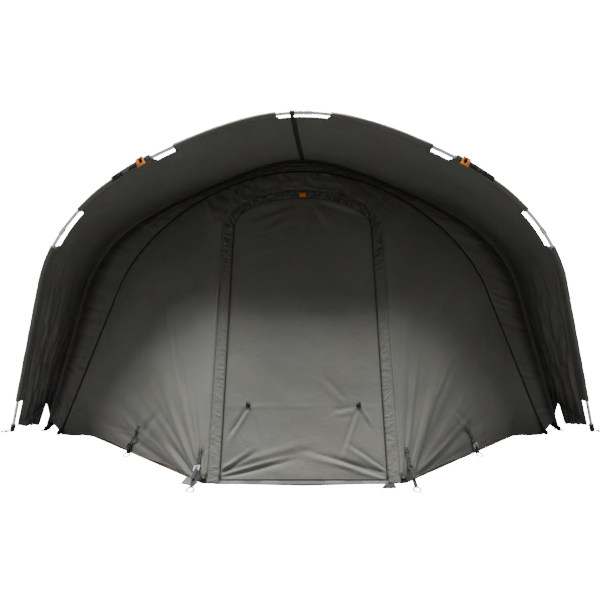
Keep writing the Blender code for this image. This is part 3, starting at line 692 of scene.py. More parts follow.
def new_group(name, setting, value, outputs):
    """Group that turns a place and one number into values that vary over a surface."""
    tree = bpy.data.node_groups.new(name, "ShaderNodeTree")
    face = tree.interface
    face.new_socket("Place", in_out="INPUT", socket_type="NodeSocketVector")
    face.new_socket(setting, in_out="INPUT", socket_type="NodeSocketFloat").default_value = value
    for label in outputs:
        face.new_socket(label, in_out="OUTPUT", socket_type="NodeSocketFloat")
    return tree, tree.nodes.new("NodeGroupInput").outputs


def maths(tree, operation, first, second=0.0):
    """Result of a maths node on sockets or numbers."""
    return new_node(tree, "ShaderNodeMath", {0: first, 1: second}, operation=operation).outputs[0]


def noise(tree, vector, scale, detail, roughness=0.5):
    inputs = {"Vector": vector, "Scale": scale, "Detail": detail, "Roughness": roughness}
    return new_node(tree, "ShaderNodeTexNoise", inputs).outputs[0]


def ranged(tree, value, low, high, start=0.0, end=1.0):
    """Value from start to end, turned into one from low to high."""
    inputs = {"Value": value, "From Min": start, "From Max": end, "To Min": low, "To Max": high}
    return new_node(tree, "ShaderNodeMapRange", inputs).outputs[0]


def scaled(tree, vector, factor):
    """Vector or colour multiplied by a factor."""
    inputs = {0: vector, "Scale": factor}
    return new_node(tree, "ShaderNodeVectorMath", inputs, operation="SCALE").outputs[0]


def weave_group():
    """Threads of a plain weave, with small slubs, from a place in metres on the cloth."""
    found = bpy.data.node_groups.get("plain_weave")
    if found:
        return found
    tree, given = new_group("plain_weave", "Pitch", 0.001, ("Height", "Slub"))
    split = new_node(tree, "ShaderNodeSeparateXYZ", {0: given["Place"]})
    waves = []
    for axis in ("X", "Y"):
        turned = maths(tree, "DIVIDE", split.outputs[axis], given["Pitch"])
        turned = maths(tree, "MULTIPLY", turned, math.pi)
        waves.append(maths(tree, "ABSOLUTE", maths(tree, "SINE", turned)))
    drawn = new_node(tree, "ShaderNodeMapping", {"Vector": given["Place"], "Scale": (1.0, 0.08, 1.0)})
    slub = noise(tree, drawn.outputs[0], 900.0, 1.0, 0.55)
    new_node(tree, "NodeGroupOutput", {"Height": maths(tree, "MULTIPLY", *waves), "Slub": slub})
    return tree


def handled_group():
    """Soft creases from packing, and uneven tone from handling and dust."""
    found = bpy.data.node_groups.get("packed_and_handled")
    if found:
        return found
    tree, given = new_group("packed_and_handled", "Size", 1.0, ("Crease", "Tone", "Warm"))
    place = scaled(tree, given["Place"], given["Size"])
    ridges = []
    for scale, detail, operation, value in ((7.0, 4.0, "POWER", 0.8), (38.0, 3.0, "MULTIPLY", 0.5)):
        bend = maths(tree, "SUBTRACT", noise(tree, place, scale, detail, 0.6), 0.5)
        ridges.append(maths(tree, operation, maths(tree, "ABSOLUTE", bend), value))
    new_node(tree, "NodeGroupOutput", {
        "Crease": maths(tree, "ADD", *ridges),
        "Tone": noise(tree, place, 2.6, 5.0, 0.62),
        "Warm": noise(tree, place, 4.4, 2.0),
    })
    return tree


def grain_group():
    """Fine moulded or drawn grain and light scuffs."""
    found = bpy.data.node_groups.get("grain_and_scuffs")
    if found:
        return found
    tree, given = new_group("grain_and_scuffs", "Scale", 400.0, ("Grain", "Scuff"))
    grain = noise(tree, given["Place"], given["Scale"], 2.0)
    scuff = maths(tree, "POWER", noise(tree, given["Place"], 60.0, 4.0, 0.7), 3.0)
    new_node(tree, "NodeGroupOutput", {"Grain": grain, "Scuff": scuff})
    return tree


def new_finish(name, roughness, metallic=0.0):
    """Empty Principled material, its shader and its node tree."""
    made = bpy.data.materials.new(name)
    made.use_nodes = True
    shader = made.node_tree.nodes["Principled BSDF"]
    feed(made.node_tree, shader, {"Roughness": roughness, "Metallic": metallic})
    return made, shader, made.node_tree


def effect(tree, group, inputs):
    """Outputs of a shared group, placed in a material with its own values."""
    return new_node(tree, "ShaderNodeGroup", inputs, node_tree=group).outputs


def tint(tree, base, factor, dark, light):
    """Base colour made darker or lighter by a factor that varies about a half."""
    return scaled(tree, base, ranged(tree, factor, dark, light, 0.3, 0.7))


def bumped(tree, heights):
    """Normal from a chain of bumps: each a height, its strength and its depth in metres."""
    normal = {}
    for height, strength, distance in heights:
        inputs = {"Height": height, "Strength": strength, "Distance": distance, **normal}
        normal = {"Normal": new_node(tree, "ShaderNodeBump", inputs).outputs[0]}
    return normal


def cloth_finish(name, shade, pitch, roughness, sheen, crease=0.004):
    """Woven cloth: weave from the piece's own map, creases and tone from its place."""
    found = bpy.data.materials.get(name)
    if found:
        return found
    made, shader, tree = new_finish(name, roughness)
    where = tree.nodes.new("ShaderNodeTexCoord").outputs
    threads = effect(tree, weave_group(), {"Place": where["UV"], "Pitch": pitch})
    handled = effect(tree, handled_group(), {"Place": where["Object"], "Size": 1.0})
    slubs = maths(tree, "MULTIPLY", threads["Slub"], 0.12)
    mixed = maths(tree, "SUBTRACT", maths(tree, "ADD", handled["Tone"], slubs), 0.06)
    patch = new_node(tree, "ShaderNodeValToRGB", {0: handled["Warm"]})
    stops = ((0.38, (0.96, 1.0, 0.99, 1.0)), (0.62, (1.05, 0.99, 0.98, 1.0)))
    for stop, (position, shift) in zip(patch.color_ramp.elements, stops):
        stop.position, stop.color = position, shift
    colours = {"Factor": 1.0, 6: tint(tree, shade, mixed, 0.86, 1.14), 7: patch.outputs[0]}
    warmth = new_node(tree, "ShaderNodeMix", colours, data_type="RGBA", blend_type="MULTIPLY")
    creases, weave = (handled["Crease"], 0.75, crease), (threads["Height"], 0.25, 0.0002)
    feed(tree, shader, {
        "Base Color": warmth.outputs[2],
        "Roughness": ranged(tree, handled["Tone"], roughness - 0.1, roughness + 0.1),
        "Sheen Weight": sheen,
        "Sheen Roughness": 0.5,
        "Specular IOR Level": 0.35,
        **bumped(tree, [creases, weave]),
    })
    return made


def hard_finish(name, shade, roughness, metallic=0.0, grain=400.0, stretch=(1.0, 1.0, 1.0)):
    """Moulded plastic or drawn metal with fine grain and light scuffs."""
    found = bpy.data.materials.get(name)
    if found:
        return found
    made, shader, tree = new_finish(name, roughness, metallic)
    where = tree.nodes.new("ShaderNodeTexCoord").outputs
    drawn = new_node(tree, "ShaderNodeMapping", {"Vector": where["Object"], "Scale": stretch})
    marks = effect(tree, grain_group(), {"Place": drawn.outputs[0], "Scale": grain})
    feed(tree, shader, {
        "Base Color": tint(tree, shade, marks["Scuff"], 0.9, 1.25),
        "Roughness": ranged(tree, marks["Grain"], max(0.05, roughness - 0.08), roughness + 0.12),
        **bumped(tree, [(marks["Grain"], 0.15, 0.0003)]),
    })
    return made


def tent_cloth():
    """The tent's cloth, darker where its attribute paints shade on it."""
    found = bpy.data.materials.get("tent_cloth")
    if found:
        return found
    made = cloth_finish("tent_cloth", colour("cloth"), 0.0009, 0.62, 0.12)
    tree = made.node_tree
    shade = tree.nodes["Principled BSDF"].inputs["Base Color"]
    # Painted shade: the base colour is scaled down by the per-point shade attribute
    lined = new_node(tree, "ShaderNodeAttribute", {}, attribute_name="lined").outputs["Fac"]
    unshaded = maths(tree, "SUBTRACT", 1.0, lined)
    tree.links.new(scaled(tree, shade.links[0].from_socket, unshaded), shade)
    return made


def sill_cloth():
    return cloth_finish("sill_cloth", colour("sill"), 0.0012, 0.5, 0.05, crease=0.001)


def floor_cloth():
    return cloth_finish("groundsheet_cloth", colour("groundsheet"), 0.0014, 0.55, 0.05, crease=0.002)


def webbing_finish():
    return cloth_finish("black_webbing", colour("webbing"), 0.0022, 0.7, 0.1, crease=0.0004)


def thread_finish():
    return hard_finish("sewing_thread", colour("thread"), 0.7, grain=1500.0)


def pale_thread():
    return hard_finish("pale_thread", colour("pale_plastic"), 0.7, grain=1500.0)


def black_plastic():
    return hard_finish("black_plastic", colour("plastic"), 0.42)


def clear_plastic():
    return hard_finish("pale_plastic", colour("pale_plastic"), 0.3)


def orange_plastic():
    return hard_finish("orange_plastic", colour("orange"), 0.38)


def pole_alloy():
    return hard_finish("pole_alloy", colour("alloy"), 0.35, 0.55, 300.0, (1.0, 1.0, 0.1))


def ring_steel():
    return hard_finish("ring_steel", colour("steel"), 0.25, 1.0, 500.0)


# Hood

def columns_between(start, end, step, fixed=()):
    """Even values from start to end that also pass through the fixed ones."""
    marks = sorted({start, end, *[mark for mark in fixed if start < mark < end]})
    values = [marks[0]]
    for low, high in zip(marks, marks[1:]):
        count = max(1, round((high - low) / step))
        values.extend((low + (high - low) * (np.arange(count) + 1) / count).tolist())
    return np.array(values)


def whole_arch(step, fixed=()):
    """Even values of q from one foot of an arch to the other."""
    end = 1.0 - FIRST_STATION
    return columns_between(-end, end, step, fixed)


def cut_marks():
    """Values of q at the ends of the sleeve and of each cut-out."""
    return mirrored([SLEEVE_FOOT] + [mark for cut in CUTS for mark in cut if mark < 1.0])


def corner_marks():
    """Values of q at the inner corners of the cut-outs."""
    ends = [mark for start, end in CUTS for mark in (start + CUT_CORNER, end - CUT_CORNER)]
    return mirrored([mark for mark in ends if mark < 1.0])


def in_cut(q):
    station = 1.0 - np.abs(q)
    inside = station < SLEEVE_FOOT
    for start, end in CUTS:
        inside = inside | ((station > start) & (station < end))
    return inside


def hood_folds(q, share):
    """Height of the hood's folds: tension folds over the top, hanging folds down the sides."""
    fold = sizes().folds
    station = 1.0 - np.abs(q)
    along, back = q * ARCH_RUN, share * 0.6
    held = np.clip(6.0 * share, 0.0, 1.0) * np.clip(6.0 * (1.0 - share), 0.0, 1.0)
    side = ease(0.62, 0.44, station)
    top = 0.0035 * ripple(along + 0.5 * back, back * 0.35, 11, 0.13)
    top += 0.0016 * crease(along * 0.6 - back, back + along * 0.4, 12, 0.15)
    hang = 0.012 * ripple(back + 0.04 * along, along * 0.16, 13, 0.085)
    hang += 0.006 * ripple(back - 0.03 * along, along * 0.3, 14, 0.035)
    low = 0.006 * ease(0.25, 0.0, station) * ripple(back, along, 15, 0.09)
    return fold * held * ((1.0 - side) * top + side * hang + low)


def hood_grid():
    """Grid of the hood's cloth, from the hem of the front sleeve round the pole to the main rib."""
    q = whole_arch(HOOD_STEP, cut_marks() + corner_marks())
    share = np.concatenate([[0.0], np.linspace(0.02, 1.0, HOOD_ROWS - 1)])
    q2, share2 = np.meshgrid(q, share, indexing="ij")
    # The hem lies nearly level, with a notch beside the main rib
    level = 0.0205 - 0.012 * share2
    slit = 0.094 - 0.046 * (share2 - NOTCH_SHARE) / (1.0 - NOTCH_SHARE) - level
    notch = level + slit * ease(NOTCH_SHARE - 0.045, NOTCH_SHARE, share2)
    lift = notch * np.clip(1.0 - (1.0 - np.abs(q2)) / 0.16, 0.0, 1.0)
    raised = np.sign(q2) * (np.abs(q2) - lift)
    share2 = trimmed(q2, share2)
    points, normals = hood_surface(raised, share2)
    points = points + normals * hood_folds(raised, share2)[..., None]
    # The sleeve wraps the pole and comes back under the cloth
    near, tangent = FRONT.point(q), FRONT.tangent(q)
    way = across(MAIN.point(q) - near, tangent)
    high = np.cross(tangent, way)
    wrap = [near + way * 0.034 - high * 0.0016, near + way * 0.024 - high * 0.0035]
    for angle in np.radians(np.linspace(322.0, 40.0, SLEEVE_ROWS - 3)):
        loose = 0.0122 + 0.0014 * ripple(q * ARCH_RUN, 0 * q + angle, 16, 0.05)[:, None]
        wrap.append(near + (way * math.cos(angle) + high * math.sin(angle)) * loose)
    wrap.append(near + way * 0.021 + high * 0.0032)
    points = np.concatenate([np.stack(wrap, axis=1), points], axis=1)
    outward = np.concatenate([np.repeat(high[:, None], SLEEVE_ROWS, axis=1), normals], axis=1)
    # Painted shade along the main rib, down the sides and near the foot; the sleeve rows take the value at
    # the hood's edge
    lined = hood_painted_shade(1.0 - np.abs(raised), share2)
    lined = np.concatenate([np.repeat(lined[:, :1], SLEEVE_ROWS, axis=1), lined], axis=1)
    return q, points, outward, lined


def hood_painted_shade(station, share):
    """How far painted shade darkens the hood: most at its sides and along the main rib, a little under the
    crown, and above a slanting line near the foot.
    """
    side = 1.0 - ease(0.72, 0.94, station)
    dark = side * (0.22 * ease(0.1, 0.5, share) + 0.52 * ease(0.5, 1.0, share))
    dark += (1.0 - side) * 0.2 * ease(0.7, 1.0, share)
    # Painted shade above a slanting line near the foot
    above = station - 0.022 - 0.085 * share
    skirt_shade = np.where(above > 0.0, 0.55 * np.exp(-np.abs(above) / 0.035), 0.1)
    return np.clip(dark + skirt_shade * ease(0.2, 0.12, station), 0.0, 0.88)


def hood_cloth():
    q, points, outward, lined = hood_grid()
    bare = in_cut((q[:-1] + q[1:]) / 2)
    keep = np.ones((points.shape[0] - 1, points.shape[1] - 1), bool)
    keep[bare, :SLEEVE_ROWS] = False
    piece = cloth("hood_cloth", points, outward, tent_cloth(), keep, lined)
    gores = ["hood_left_side", "hood_left_shoulder", "hood_left_crown"]
    gores += [name.replace("left", "right") for name in gores]
    settle(piece, gores)


def hood_bindings():
    """Taped edges of the cut-outs, and the rows of stitches that close the front sleeve."""
    pieces, seams = [], []
    marks = [(1.0 - end, 1.0 - start) for start, end in CUTS[:2]]
    spans = [(-end, -start) for start, end in marks] + marks + [(CUTS[2][0] - 1.0, 1.0 - CUTS[2][0])]
    spans += [(1.0 - SLEEVE_FOOT, 1.0 - HEM_STATION), (HEM_STATION - 1.0, SLEEVE_FOOT - 1.0)]
    for low, high in spans:
        q = columns_between(low + 0.0002, high - 0.0002, 0.002, corner_marks())
        path, normal = hood_surface(q, trimmed(q, 0 * q))
        pieces.append(sweep("binding", path, normal, slab(0.0028, 0.012), tent_cloth()))
    ends = sorted(cut_marks())
    for low, high in zip(ends, ends[1:]):
        if not in_cut(np.array((low + high) / 2)):
            q = np.linspace(low + 0.001, high - 0.001, 120)
            near, tangent = FRONT.point(q), FRONT.tangent(q)
            way = across(MAIN.point(q) - near, tangent)
            up = np.cross(tangent, way)
            for setback in (0.0235, 0.0270):
                seams.append((near + way * setback + up * 0.0019, up))
                seams.append((near + way * setback - up * 0.0039, -up))
    settle(join("hood_bindings", pieces))
    stitched("hood_stitches", seams)


# Ribs

def round_pole(name, arch, low, high, ferrule=None):
    """Round pole along an arch from low to high q, with a swaged ferrule between two values of q."""
    radius = sizes().pole / 2
    q = columns_between(low, high, 0.006, ferrule or ())
    path = arch.point(q)
    scale = np.ones(len(q))
    if ferrule:
        inside = (q >= ferrule[0] - 1e-9) & (q <= ferrule[1] + 1e-9)
        scale[inside] = FERRULE_SCALE
        edges = [k for k in range(1, len(q)) if inside[k] != inside[k - 1]]
        q = np.insert(q, edges, [q[k - 1] if inside[k - 1] else q[k] for k in edges])
        scale = np.insert(scale, edges, 1.0)
        path = arch.point(q) + arch.tangent(q) * np.linspace(0.0, 1e-5, len(q))[:, None]
    return sweep(name, path, arch.normal(), disc(radius, 20), pole_alloy(), scale=scale)


def make_front_rib():
    joint = 1.0 - (CUTS[0][0] + CUTS[0][1]) / 2
    near_foot = 1.0 - (CUTS[0][0] + (CUTS[0][1] - CUTS[0][0]) / 3)
    spans = {
        "front_pole_left_leg": (-TUBE_END, -joint, (-near_foot, -joint - 0.001)),
        "front_pole_left": (-joint, 0.0, (-0.012, -0.001)),
        "front_pole_right": (0.0, joint, (0.001, 0.012)),
        "front_pole_right_leg": (joint, TUBE_END, (joint + 0.001, near_foot)),
    }
    for node, (low, high, ferrule) in spans.items():
        settle(round_pole(node + "_tube", FRONT, low, high, ferrule), [node])


def make_sleeved_rib(name, arch):
    """Pole of a rib in its gathered sleeve, with the bare pole below the sleeve at both feet."""
    settle(round_pole(name + "_pole_tube", arch, -TUBE_END, TUBE_END), [name + "_pole"])
    end = 1.0 - COVERED_FOOT + 0.004
    q = np.linspace(-end, end, 560)
    angle = 2 * math.pi * np.arange(16) / 16
    normal = np.broadcast_to(arch.normal(), (len(q), 3))
    inward = np.cross(normal, arch.tangent(q))
    radius = 0.0124 + 0.0014 * ripple(q[:, None] * ARCH_RUN, np.sin(angle)[None] * 0.03, 21, 0.03)
    radius = np.clip(radius, 0.0105, 0.0143)
    cosine, sine = np.cos(angle)[None, :, None], np.sin(angle)[None, :, None]
    ring = normal[:, None] * cosine + inward[:, None] * sine
    points = arch.point(q)[:, None] + ring * radius[..., None]
    points = np.concatenate([points, points[:, :1]], axis=1)
    ring = np.concatenate([ring, ring[:, :1]], axis=1)
    # Painted shade over the whole sleeve
    lined = np.full(points.shape[:2], SLEEVE_PAINTED_SHADE)
    sleeve = cloth(name + "_sleeve_cloth", points, ring, tent_cloth(), lined=lined)
    settle(sleeve, [name + "_sleeve"])


# Front wall

def wall_folds(points):
    """Height of the folds of the front wall, as the photograph shows them."""
    u, v = sight(points)
    x, z = points[..., 0], points[..., 2]
    height = np.where(x < 0, left_wall_folds(u, v), right_wall_folds(u, v))
    height += 0.0022 * ripple(x - 0.5 * z * np.sign(x), z * 0.4 + 0.2 * x, 33, 0.07)
    height += 0.0012 * crease(x + z * 0.5, z - 0.4 * x, 34, 0.12)
    # The header over the door is crumpled, and the strip's gathers pucker the wall beside it
    head = ease(1.02, 1.2, z) * ease(0.62, 0.45, np.abs(x))
    height += head * 0.006 * ripple(x * 1.6 + z, z * 1.2 - x * 0.4, 41, 0.045)
    height += head * 0.004 * crease(x - 0.8 * z, z + 0.3 * x, 42, 0.05)
    rise = np.abs(x) - DOOR_HALF_WIDTH - STRIP_WIDTH
    beside = np.exp(-((rise / 0.025) ** 2)) * ease(0.2, 1.2, z)
    return height + 0.003 * beside * ripple(z * 1.1, x * 0.4, 43, 0.016)


def left_wall_folds(u, v):
    height = fan(u, v, (200.0, 486.0), 93.0, 160.0, 31, 170.0, 0.0055, 13.0)
    height += fan(u, v, (200.0, 484.0), 93.0, 165.0, 36, 150.0, 0.0022, 27.0)
    height += fan(u, v, (134.0, 452.0), 40.0, 150.0, 37, 60.0, 0.0022, 11.0)
    return height + fold_lines(u, v, (
        (197, 478, 164, 438, 2.52, 0.0099),
        (199, 474, 172, 396, 2.8, 0.0077),
        (200, 470, 178, 340, 2.8, 0.0066),
        (201, 470, 192, 380, 2.1, 0.005),
        (198, 476, 156, 404, 2.1, 0.006),
        (193, 480, 145, 452, 1.82, 0.0055),
        (205, 478, 201, 440, 1.54, 0.0039),
        (164, 300, 172, 400, 3.5, 0.0039),
        (176, 330, 186, 420, 2.8, 0.0028),
        (139, 432, 120, 400, 2.1, 0.0028),
        (139, 436, 160, 410, 2.45, 0.0028),
        (139, 434, 104, 424, 1.75, 0.0022),
        (66, 420, 90, 400, 1.75, 0.0028),
        (66, 424, 84, 412, 1.4, 0.0028),
        (150, 440, 163, 456, 1.75, 0.0022),
    ))


def right_wall_folds(u, v):
    height = fan(u, v, (407.0, 486.0), 20.0, 92.0, 32, 170.0, 0.006, 12.0)
    height += fan(u, v, (407.0, 484.0), 20.0, 90.0, 38, 150.0, 0.0025, 24.0)
    height += fan(u, v, (478.0, 452.0), 30.0, 140.0, 39, 60.0, 0.0022, 11.0)
    return height + fold_lines(u, v, (
        (414, 478, 440, 392, 2.8, 0.0105),
        (438, 400, 462, 345, 2.8, 0.006),
        (420, 474, 458, 438, 2.45, 0.0099),
        (424, 476, 478, 452, 1.96, 0.0077),
        (426, 468, 484, 410, 2.52, 0.0072),
        (405, 470, 406, 380, 2.1, 0.0055),
        (410, 468, 424, 340, 2.52, 0.0077),
        (407, 440, 411, 320, 2.52, 0.005),
        (474, 428, 500, 402, 2.1, 0.0028),
        (474, 430, 452, 408, 2.1, 0.0028),
        (540, 430, 520, 412, 1.75, 0.0022),
    ))


def hanging(share, top=0.03, bottom=0.02):
    """Fade that holds cloth at both of its edges."""
    return ease(0.0, top, share) * ease(1.0, 1.0 - bottom, share)


def folded_wall(q, share):
    """Points and outward ways of the folded front wall."""
    points, outward = wall_surface(q, share)
    station = 1.0 - np.abs(q)
    beside = ease(0.724, 0.728, station)
    held = hanging(share, 0.03, 0.015) * (1.0 - 0.3 * beside * ease(0.9, 1.0, share))
    height = wall_folds(points) * held * sizes().folds
    points = points + outward * height[..., None]
    points[..., 2] = np.maximum(points[..., 2], CLOTH_FLOOR)
    return points, outward


def make_front_wall():
    """Front wall in one piece, from one foot of the arched zip over the door to the other."""
    q = whole_arch(WALL_STEP, mirrored(WALL_STATIONS))
    share = 1.0 - (1.0 - np.linspace(0.0, 1.0, WALL_ROWS)) ** 1.2
    q2, share2 = np.meshgrid(q, share, indexing="ij")
    drop = np.linalg.norm(ZIP.point(q) - wall_edge(q), axis=-1)
    station = 1.0 - np.abs(q)
    lift = HEM_SHOWS * ease(0.66, 0.6, station) * ease(0.05, 0.15, station) / drop
    share2 = share2 * (1.0 - lift[:, None])
    points, outward = folded_wall(q2, share2)
    lap = ease(0.60, 0.70, station)[:, None] * (WALL_CLEAR + STRIP_LAP)
    edge = points[:, -1]
    inward = across(edge - points[:, -2], unit(np.gradient(edge, axis=0)))
    points[:, -1] += inward * lap - DOOR_OUT * lap * 0.12
    wall = cloth("front_wall_cloth", points, outward, tent_cloth())
    settle(wall, ["front_wall_left", "front_wall_right", "door_header"])
    lines = [points[(q * side > 0) & (station < 0.70), -1] for side, _ in SIDES]
    hems = [sweep("hem", line, DOOR_OUT, slab(0.002, 0.010), tent_cloth()) for line in lines]
    settle(join("front_wall_hems", hems))


def make_band():
    """Fixed band between the main rib and the zip, with two corded seams along it."""
    q = whole_arch(BAND_STEP)
    share = np.linspace(0.0, 1.0, BAND_ROWS)
    q2, share2 = np.meshgrid(q, share, indexing="ij")
    points, outward = band_surface(q2, share2)
    along, down = q2 * ARCH_RUN, share2 * 0.09
    station = 1.0 - np.abs(q2)
    crown = ease(0.5, 0.85, station)
    height = 0.0035 * ripple(along * 1.2 + down, down * 0.5, 51, 0.04)
    height += crown * 0.003 * crease(along + 1.5 * down, down - 0.4 * along, 52, 0.06)
    for place in BAND_SEAMS:
        height += 0.0045 * np.exp(-(((share2 - place) / 0.035) ** 2)) * crown
    points = points + outward * (height * hanging(share2, 0.15, 0.15))[..., None]
    # Painted shade along the main rib at the band's sides
    lined = (1.0 - ease(0.72, 0.94, station)) * 0.72 * (1.0 - ease(0.05, 0.55, share2))
    piece = cloth("front_band_cloth", points, outward, tent_cloth(), lined=lined)
    settle(piece, ["front_band_left", "front_band_top", "front_band_right"])
    seams = [(points[:, row] + outward[:, row] * 0.0008, outward[:, row]) for row in (2, 8, 19, 23)]
    stitched("front_band_stitches", seams)


def zip_along(name, path, facing, width, tape_finish, replaced):
    """Zip on its tape: two rows of coil teeth that meet along a path."""
    tangent = unit(np.gradient(path, axis=0))
    side = across(np.cross(tangent, facing), tangent)
    tape = sweep(name, path - facing * 0.0004, side, slab(width, 0.0012), tape_finish)
    settle(tape, replaced)
    rows = [(path + side * 0.0014 * k + facing * 0.0009, facing) for k in (-1, 1)]
    pitch = sizes().tooth_pitch
    teeth = along_seams(name + "_teeth", rows, pitch, (0.0013, 0.0032, 0.0016), black_plastic())
    settle(teeth)


def make_arch_zip():
    q = np.linspace(-0.998, 0.998, 500)
    centre = ZIP.point(q)
    inner = wall_surface(q[:, None], 0 * q[:, None])[1][:, 0]
    outer = band_surface(q, 0 * q + 1.0)[1]
    facing = unit(inner + outer)
    zip_along("front_zip_arch_tape", centre, facing, 0.009, webbing_finish(), ["front_zip_arch"])
    side = across(np.cross(ZIP.tangent(q), facing), ZIP.tangent(q))
    wide = 1.0 + 0.9 * ease(0.90, 0.95, np.abs(q))
    backing = centre - facing * 0.0036
    backing = sweep("front_zip_backing", backing, side, slab(0.022, 0.0009), tent_cloth(), scale=wide)
    settle(backing)


# Door

def arch_loop(half_width, rise, foot, step):
    """Door outline at an even step: up the right side, over the top, down the left, as x and height."""
    angle = np.linspace(0.0, math.pi, 200)
    top = np.stack([half_width * np.cos(angle), DOOR_SPRING + rise * np.sin(angle)], axis=-1)
    loop = np.concatenate([[(half_width, foot)], top, [(-half_width, foot)]])
    run = np.concatenate([[0.0], np.cumsum(np.linalg.norm(np.diff(loop, axis=0), axis=-1))])
    even = np.linspace(0.0, run[-1], max(2, round(run[-1] / step)))
    return np.stack([np.interp(even, run, loop[:, k]) for k in (0, 1)], axis=-1)


def make_strip():
    """Gathered strip round the door: tight puckers over the top, loose ones down the sides."""
    rise, foot = DOOR_TOP - DOOR_SPRING, STRIP_FOOT - 0.014
    inner = arch_loop(DOOR_HALF_WIDTH + 0.001, rise + 0.001, foot, STRIP_STEP)
    outer = arch_loop(DOOR_HALF_WIDTH + STRIP_WIDTH, rise + STRIP_WIDTH, foot, STRIP_STEP)
    share = np.linspace(0.0, 1.0, STRIP_ROWS)
    places, even = np.linspace(0.0, 1.0, len(inner)), np.linspace(0.0, 1.0, len(outer))
    matched = np.stack([np.interp(places, even, outer[:, k]) for k in (0, 1)], axis=-1)
    flat = inner[:, None] * (1 - share)[None, :, None] + matched[:, None] * share[None, :, None]
    run = places[:, None] * 3.95
    high = flat[..., 1]
    strong = 0.16 + 0.84 * ease(0.95, 1.18, high) * (1.0 - 0.35 * ease(1.44, 1.5, high))
    turn = run + 0.03 * share[None] * ripple(run, 0 * run, 60, 0.09)
    fine = ripple(turn, 0 * turn + 0.012 * share[None], 61, 0.0115)
    wide = ripple(turn, 0 * turn + 0.02 * share[None], 62, 0.026)
    pucker = 1.7 * np.abs(fine) ** 0.8 - 0.75 + 0.4 * wide
    swell = np.sin(math.pi * np.clip(share, 0.02, 1.0) ** 0.75)[None] ** 0.6
    swell = swell * (1.0 - ease(0.62, 1.0, share))[None]
    height = 0.0085 * strong * pucker * swell + 0.0035 * swell * strong
    height = np.maximum(height, -0.003) + 0.0006
    points = door_point(flat[..., 0], high) + height[..., None] * DOOR_OUT
    outward = np.broadcast_to(DOOR_OUT, points.shape)
    # Painted shade over the strip's gathers, deepest in the puckers' valleys
    lined = strong * (0.18 + 0.6 * np.clip(-pucker, 0.0, 1.0)) * ease(1.0, 0.8, share)[None]
    piece = cloth("door_strip_cloth", points, outward, tent_cloth(), lined=lined)
    settle(piece, ["door_strip"])
    seams = [(points[:, row] + DOOR_OUT * 0.001, DOOR_OUT) for row in (1, STRIP_ROWS - 2)]
    stitched("door_strip_stitches", seams)


def door_folds(points):
    u, v = sight(points)
    height = fold_lines(u, v, (
        (217, 476, 258, 451, 2.2, 0.0055),
        (218, 479, 300, 458, 2.5, 0.0066),
        (222, 472, 320, 447, 3.6, 0.0039),
        (388, 478, 330, 457, 2.3, 0.006),
        (388, 474, 300, 449, 2.9, 0.005),
        (387, 470, 345, 441, 2.3, 0.0039),
        (387, 478, 350, 468, 2.0, 0.0044),
        (247, 408, 226, 440, 2.0, 0.006),
        (250, 408, 262, 446, 2.7, 0.0011),
        (357, 408, 338, 462, 2.2, 0.0033),
        (359, 408, 370, 430, 2.0, 0.005),
        (356, 407, 330, 410, 3.0, 0.004),
        (346, 400, 320, 372, 3.5, 0.003),
        (292, 203, 262, 214, 3.0, 0.004),
        (290, 206, 255, 240, 4.0, 0.0035),
        (311, 203, 310, 232, 2.6, 0.006),
        (308, 204, 330, 236, 4.0, 0.005),
        (318, 202, 372, 220, 4.0, 0.009),
        (296, 205, 240, 222, 3.0, 0.004),
        (262, 236, 300, 222, 3.0, 0.003),
        (250, 262, 300, 244, 4.0, 0.002),
    ))
    x, z = points[..., 0], points[..., 2]
    # A level crease runs between the toggles
    level = 0.002 * np.exp(-(((v - 406.5) / 1.8) ** 2)) * (0.6 + 0.4 * ripple(u, v, 71, 18.0))
    height += level
    height += 0.0016 * ripple(x * 0.5 + 0.3 * z, z + 0.2 * x, 72, 0.09)
    height += 0.0009 * crease(x + 0.3 * z, z - 0.2 * x, 73, 0.13)
    return height + 0.004 * ease(250.0, 190.0, v) * ripple(x * 1.3, z * 0.7, 74, 0.06)


def make_door():
    rise = DOOR_TOP - DOOR_SPRING
    even = np.linspace(-1.0, 1.0, DOOR_COLUMNS)
    x = (0.45 * even + 0.55 * np.sin(even * math.pi / 2)) * DOOR_HALF_WIDTH
    share = np.concatenate([np.linspace(0.0, 0.2, 66), np.linspace(0.2, 1.0, 122)[1:]])
    top = DOOR_SPRING + rise * np.sqrt(np.maximum(0.0, 1.0 - (x / DOOR_HALF_WIDTH) ** 2))
    foot = DOOR_FOOT - 0.005
    high = foot + (top - foot)[:, None] * share[None]
    points = door_point(np.repeat(x[:, None], len(share), axis=1), high)
    edge = np.minimum(DOOR_HALF_WIDTH - np.abs(x)[:, None], (top[:, None] - high)) + 0.0 * high
    held = ease(0.0, 0.02, edge) * ease(DOOR_FOOT - 0.01, DOOR_FOOT + 0.03, high)
    height = door_folds(points) * held * sizes().folds
    points = points + DOOR_OUT * height[..., None]
    piece = cloth("door_cloth", points, np.broadcast_to(DOOR_OUT, points.shape), tent_cloth())
    settle(piece, ["door_panel"])
    loop = arch_loop(DOOR_HALF_WIDTH - 0.002, rise - 0.002, DOOR_FOOT + 0.004, 0.008)
    path = door_point(loop[:, 0], loop[:, 1]) + DOOR_OUT * 0.0022
    x = np.linspace(-0.36, 0.36, 40)
    sill = door_point(x, 0 * x + 0.0235) - DOOR_OUT * 0.0015
    settle(sweep("door_sill_strip", sill, DOOR_UP, slab(0.024, 0.001), sill_cloth()))
    zip_along("door_zip", path, np.broadcast_to(DOOR_OUT, path.shape), 0.008, tent_cloth(), ())


